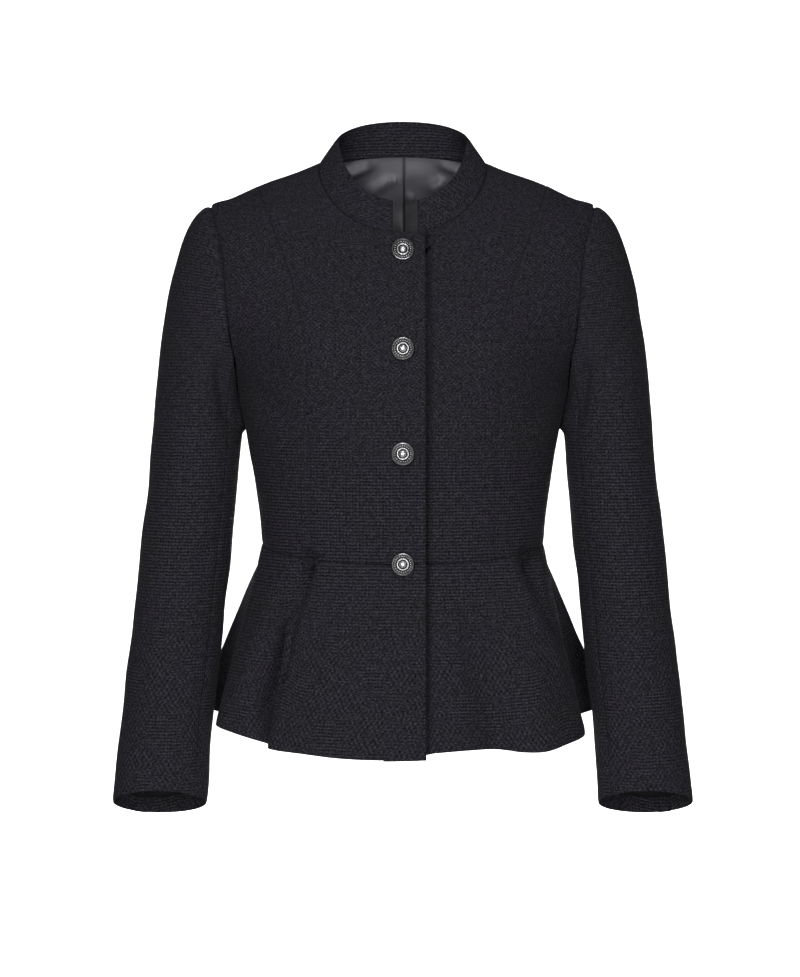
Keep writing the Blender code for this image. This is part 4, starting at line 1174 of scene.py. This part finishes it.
# %% [markdown]
# ## Buttonholes
# Each button goes through a horizontal slit whose edge is closely stitched. Only its far end shows
# beside the button. A stitched edge is a thin closed loop, so a torus is stretched to the length of
# the slit and laid on the cloth point by point.

# %% Stitch the buttonholes
HOLE_START, HOLE_END, HOLE_HALF, STITCH, STITCH_LIFT = -20.0, 2.0, 1.5, 0.62, 0.25
TUBE = 0.3              # radius of the tube of a torus whose own radius is 1
for number, height in enumerate(BUTTON_HEIGHTS, 1):
    bpy.ops.object.select_all(action="DESELECT")
    bpy.ops.mesh.primitive_torus_add(
        major_segments=72, minor_segments=8, major_radius=1, minor_radius=TUBE)
    made = bpy.context.object
    made.name = "buttonhole_%d" % number
    middle, reach = (HOLE_START + HOLE_END) / 2, (HOLE_END - HOLE_START) / 2
    for vertex in made.data.vertices:
        x, y, z = vertex.co
        round_loop = math.hypot(x, y)
        out_x, out_y = x / round_loop, y / round_loop
        aside = HOLE_HALF + (round_loop - 1) / TUBE * STITCH
        straight = (reach - HOLE_HALF) * min(1.0, abs(out_x) * 1.6) ** 0.5
        point, normal = front_place(middle + out_x * (straight + aside), height + out_y * aside)
        vertex.co = Vector((point + normal * (STITCH_LIFT + z / TUBE * STITCH * 0.6)) * MM)
    made.data.materials.append(thread)
    bpy.ops.object.shade_smooth()
    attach(made, "root")

# %% [markdown]
# ## What each sheet was cut from
# Each sheet is looked up by name beside the size of cloth that it was cut to.

for name, (width, length, area) in sizes.items():
    made = bpy.data.objects[name]

# %% [markdown]
# ## Camera and light
# The camera stands 3.4 m away and looks down by three degrees, as for a picture of clothes.

# %% Camera
AIM = Vector((-0.00263, 0.0, -0.314))
DOWN = math.radians(3)
DISTANCE, LENS, SENSOR = 3.4, 128.49, 36.0
forward = Vector((0.0, math.cos(DOWN), -math.sin(DOWN)))
camera_data = bpy.data.cameras.new("camera")
camera = bpy.data.objects.new("camera", camera_data)
bpy.context.scene.collection.objects.link(camera)
camera.location = AIM - forward * DISTANCE
camera.rotation_euler = forward.to_track_quat("-Z", "Y").to_euler()
camera_data.lens = LENS
camera_data.sensor_fit = "VERTICAL"
camera_data.sensor_height = SENSOR
camera_data.sensor_width = SENSOR
bpy.context.scene.camera = camera

# %% Light
AMBIENT = 0.045
world = bpy.data.worlds.new("studio")
world.use_nodes = True
world.node_tree.nodes["Background"].inputs["Color"].default_value = (1.0, 1.0, 1.0, 1.0)
world.node_tree.nodes["Background"].inputs["Strength"].default_value = AMBIENT
bpy.context.scene.world = world
bpy.context.scene.view_settings.view_transform = "Standard"


def softbox(name, place, aim, width, height, watts, spread=180):
    """A large area light that faces a place. A grid before it narrows the spread of its light."""
    bpy.ops.object.light_add(type="AREA", location=place)
    lamp = bpy.context.object
    lamp.name = name
    lamp.data.shape = "RECTANGLE"
    lamp.data.size = width
    lamp.data.size_y = height
    lamp.data.energy = watts
    lamp.data.spread = math.radians(spread)
    lamp.rotation_euler = (Vector(aim) - Vector(place)).to_track_quat("-Z", "Y").to_euler()


softbox("key softbox", (-0.8, -3.2, -0.1), AIM, 0.9, 2.2, 57.0)
softbox("fill softbox", (0.65, -3.25, -0.2), AIM, 0.9, 2.2, 46.0)
softbox("top softbox", (0.1, -1.9, 1.9), AIM, 1.2, 0.8, 27.0)
softbox("floor light", (0.0, 1.6, 1.0), (0.0, 1.6, -0.95), 2.0, 0.8, 55.0, 70)
for side in (-1, 1):
    softbox("paper light %d" % side, (1.75 * side, 0.9, 0.2), (0.35 * side, 3.2, -0.4), 1.0, 2.0, 44.0, 110)

# %% Floor that sweeps up behind
FLOOR_Z, FLOOR_FRONT = -0.95, -0.5
SWEEP_WIDTH, SWEEP_DEPTH, SWEEP_HEIGHT, SWEEP_BEND = 2.6, 3.2, 2.4, 1.2
bpy.ops.object.select_all(action="DESELECT")
bpy.ops.mesh.primitive_plane_add(size=1, location=(0, (SWEEP_DEPTH + FLOOR_FRONT) / 2, FLOOR_Z))
floor = bpy.context.object
floor.name = "floor"
bpy.ops.object.mode_set(mode="EDIT")
bpy.ops.transform.resize(value=(SWEEP_WIDTH, SWEEP_DEPTH - FLOOR_FRONT, 1))
mesh = bmesh.from_edit_mesh(floor.data)
far = max((v.co.y for v in mesh.verts))
for part in (*mesh.faces, *mesh.edges, *mesh.verts):
    part.select = False
for edge in mesh.edges:
    edge.select_set(all(v.co.y > far - 0.01 for v in edge.verts))
bmesh.update_edit_mesh(floor.data)
bpy.ops.mesh.extrude_edges_move(TRANSFORM_OT_translate={"value": (0, 0, SWEEP_HEIGHT)})
mesh = bmesh.from_edit_mesh(floor.data)
for edge in mesh.edges:
    edge.select_set(all(v.co.y > far - 0.01 and v.co.z < 0.01 for v in edge.verts))
bmesh.update_edit_mesh(floor.data)
bpy.ops.mesh.bevel(offset=SWEEP_BEND, segments=16, profile=0.5)
bpy.ops.object.mode_set(mode="OBJECT")
bpy.ops.object.shade_smooth()
bpy.ops.object.transform_apply(location=True, rotation=True, scale=True)
paper, _, _ = finish("white paper", Base_Color=(0.93, 0.93, 0.93, 1.0), Roughness=0.9)
floor.data.materials.append(paper)
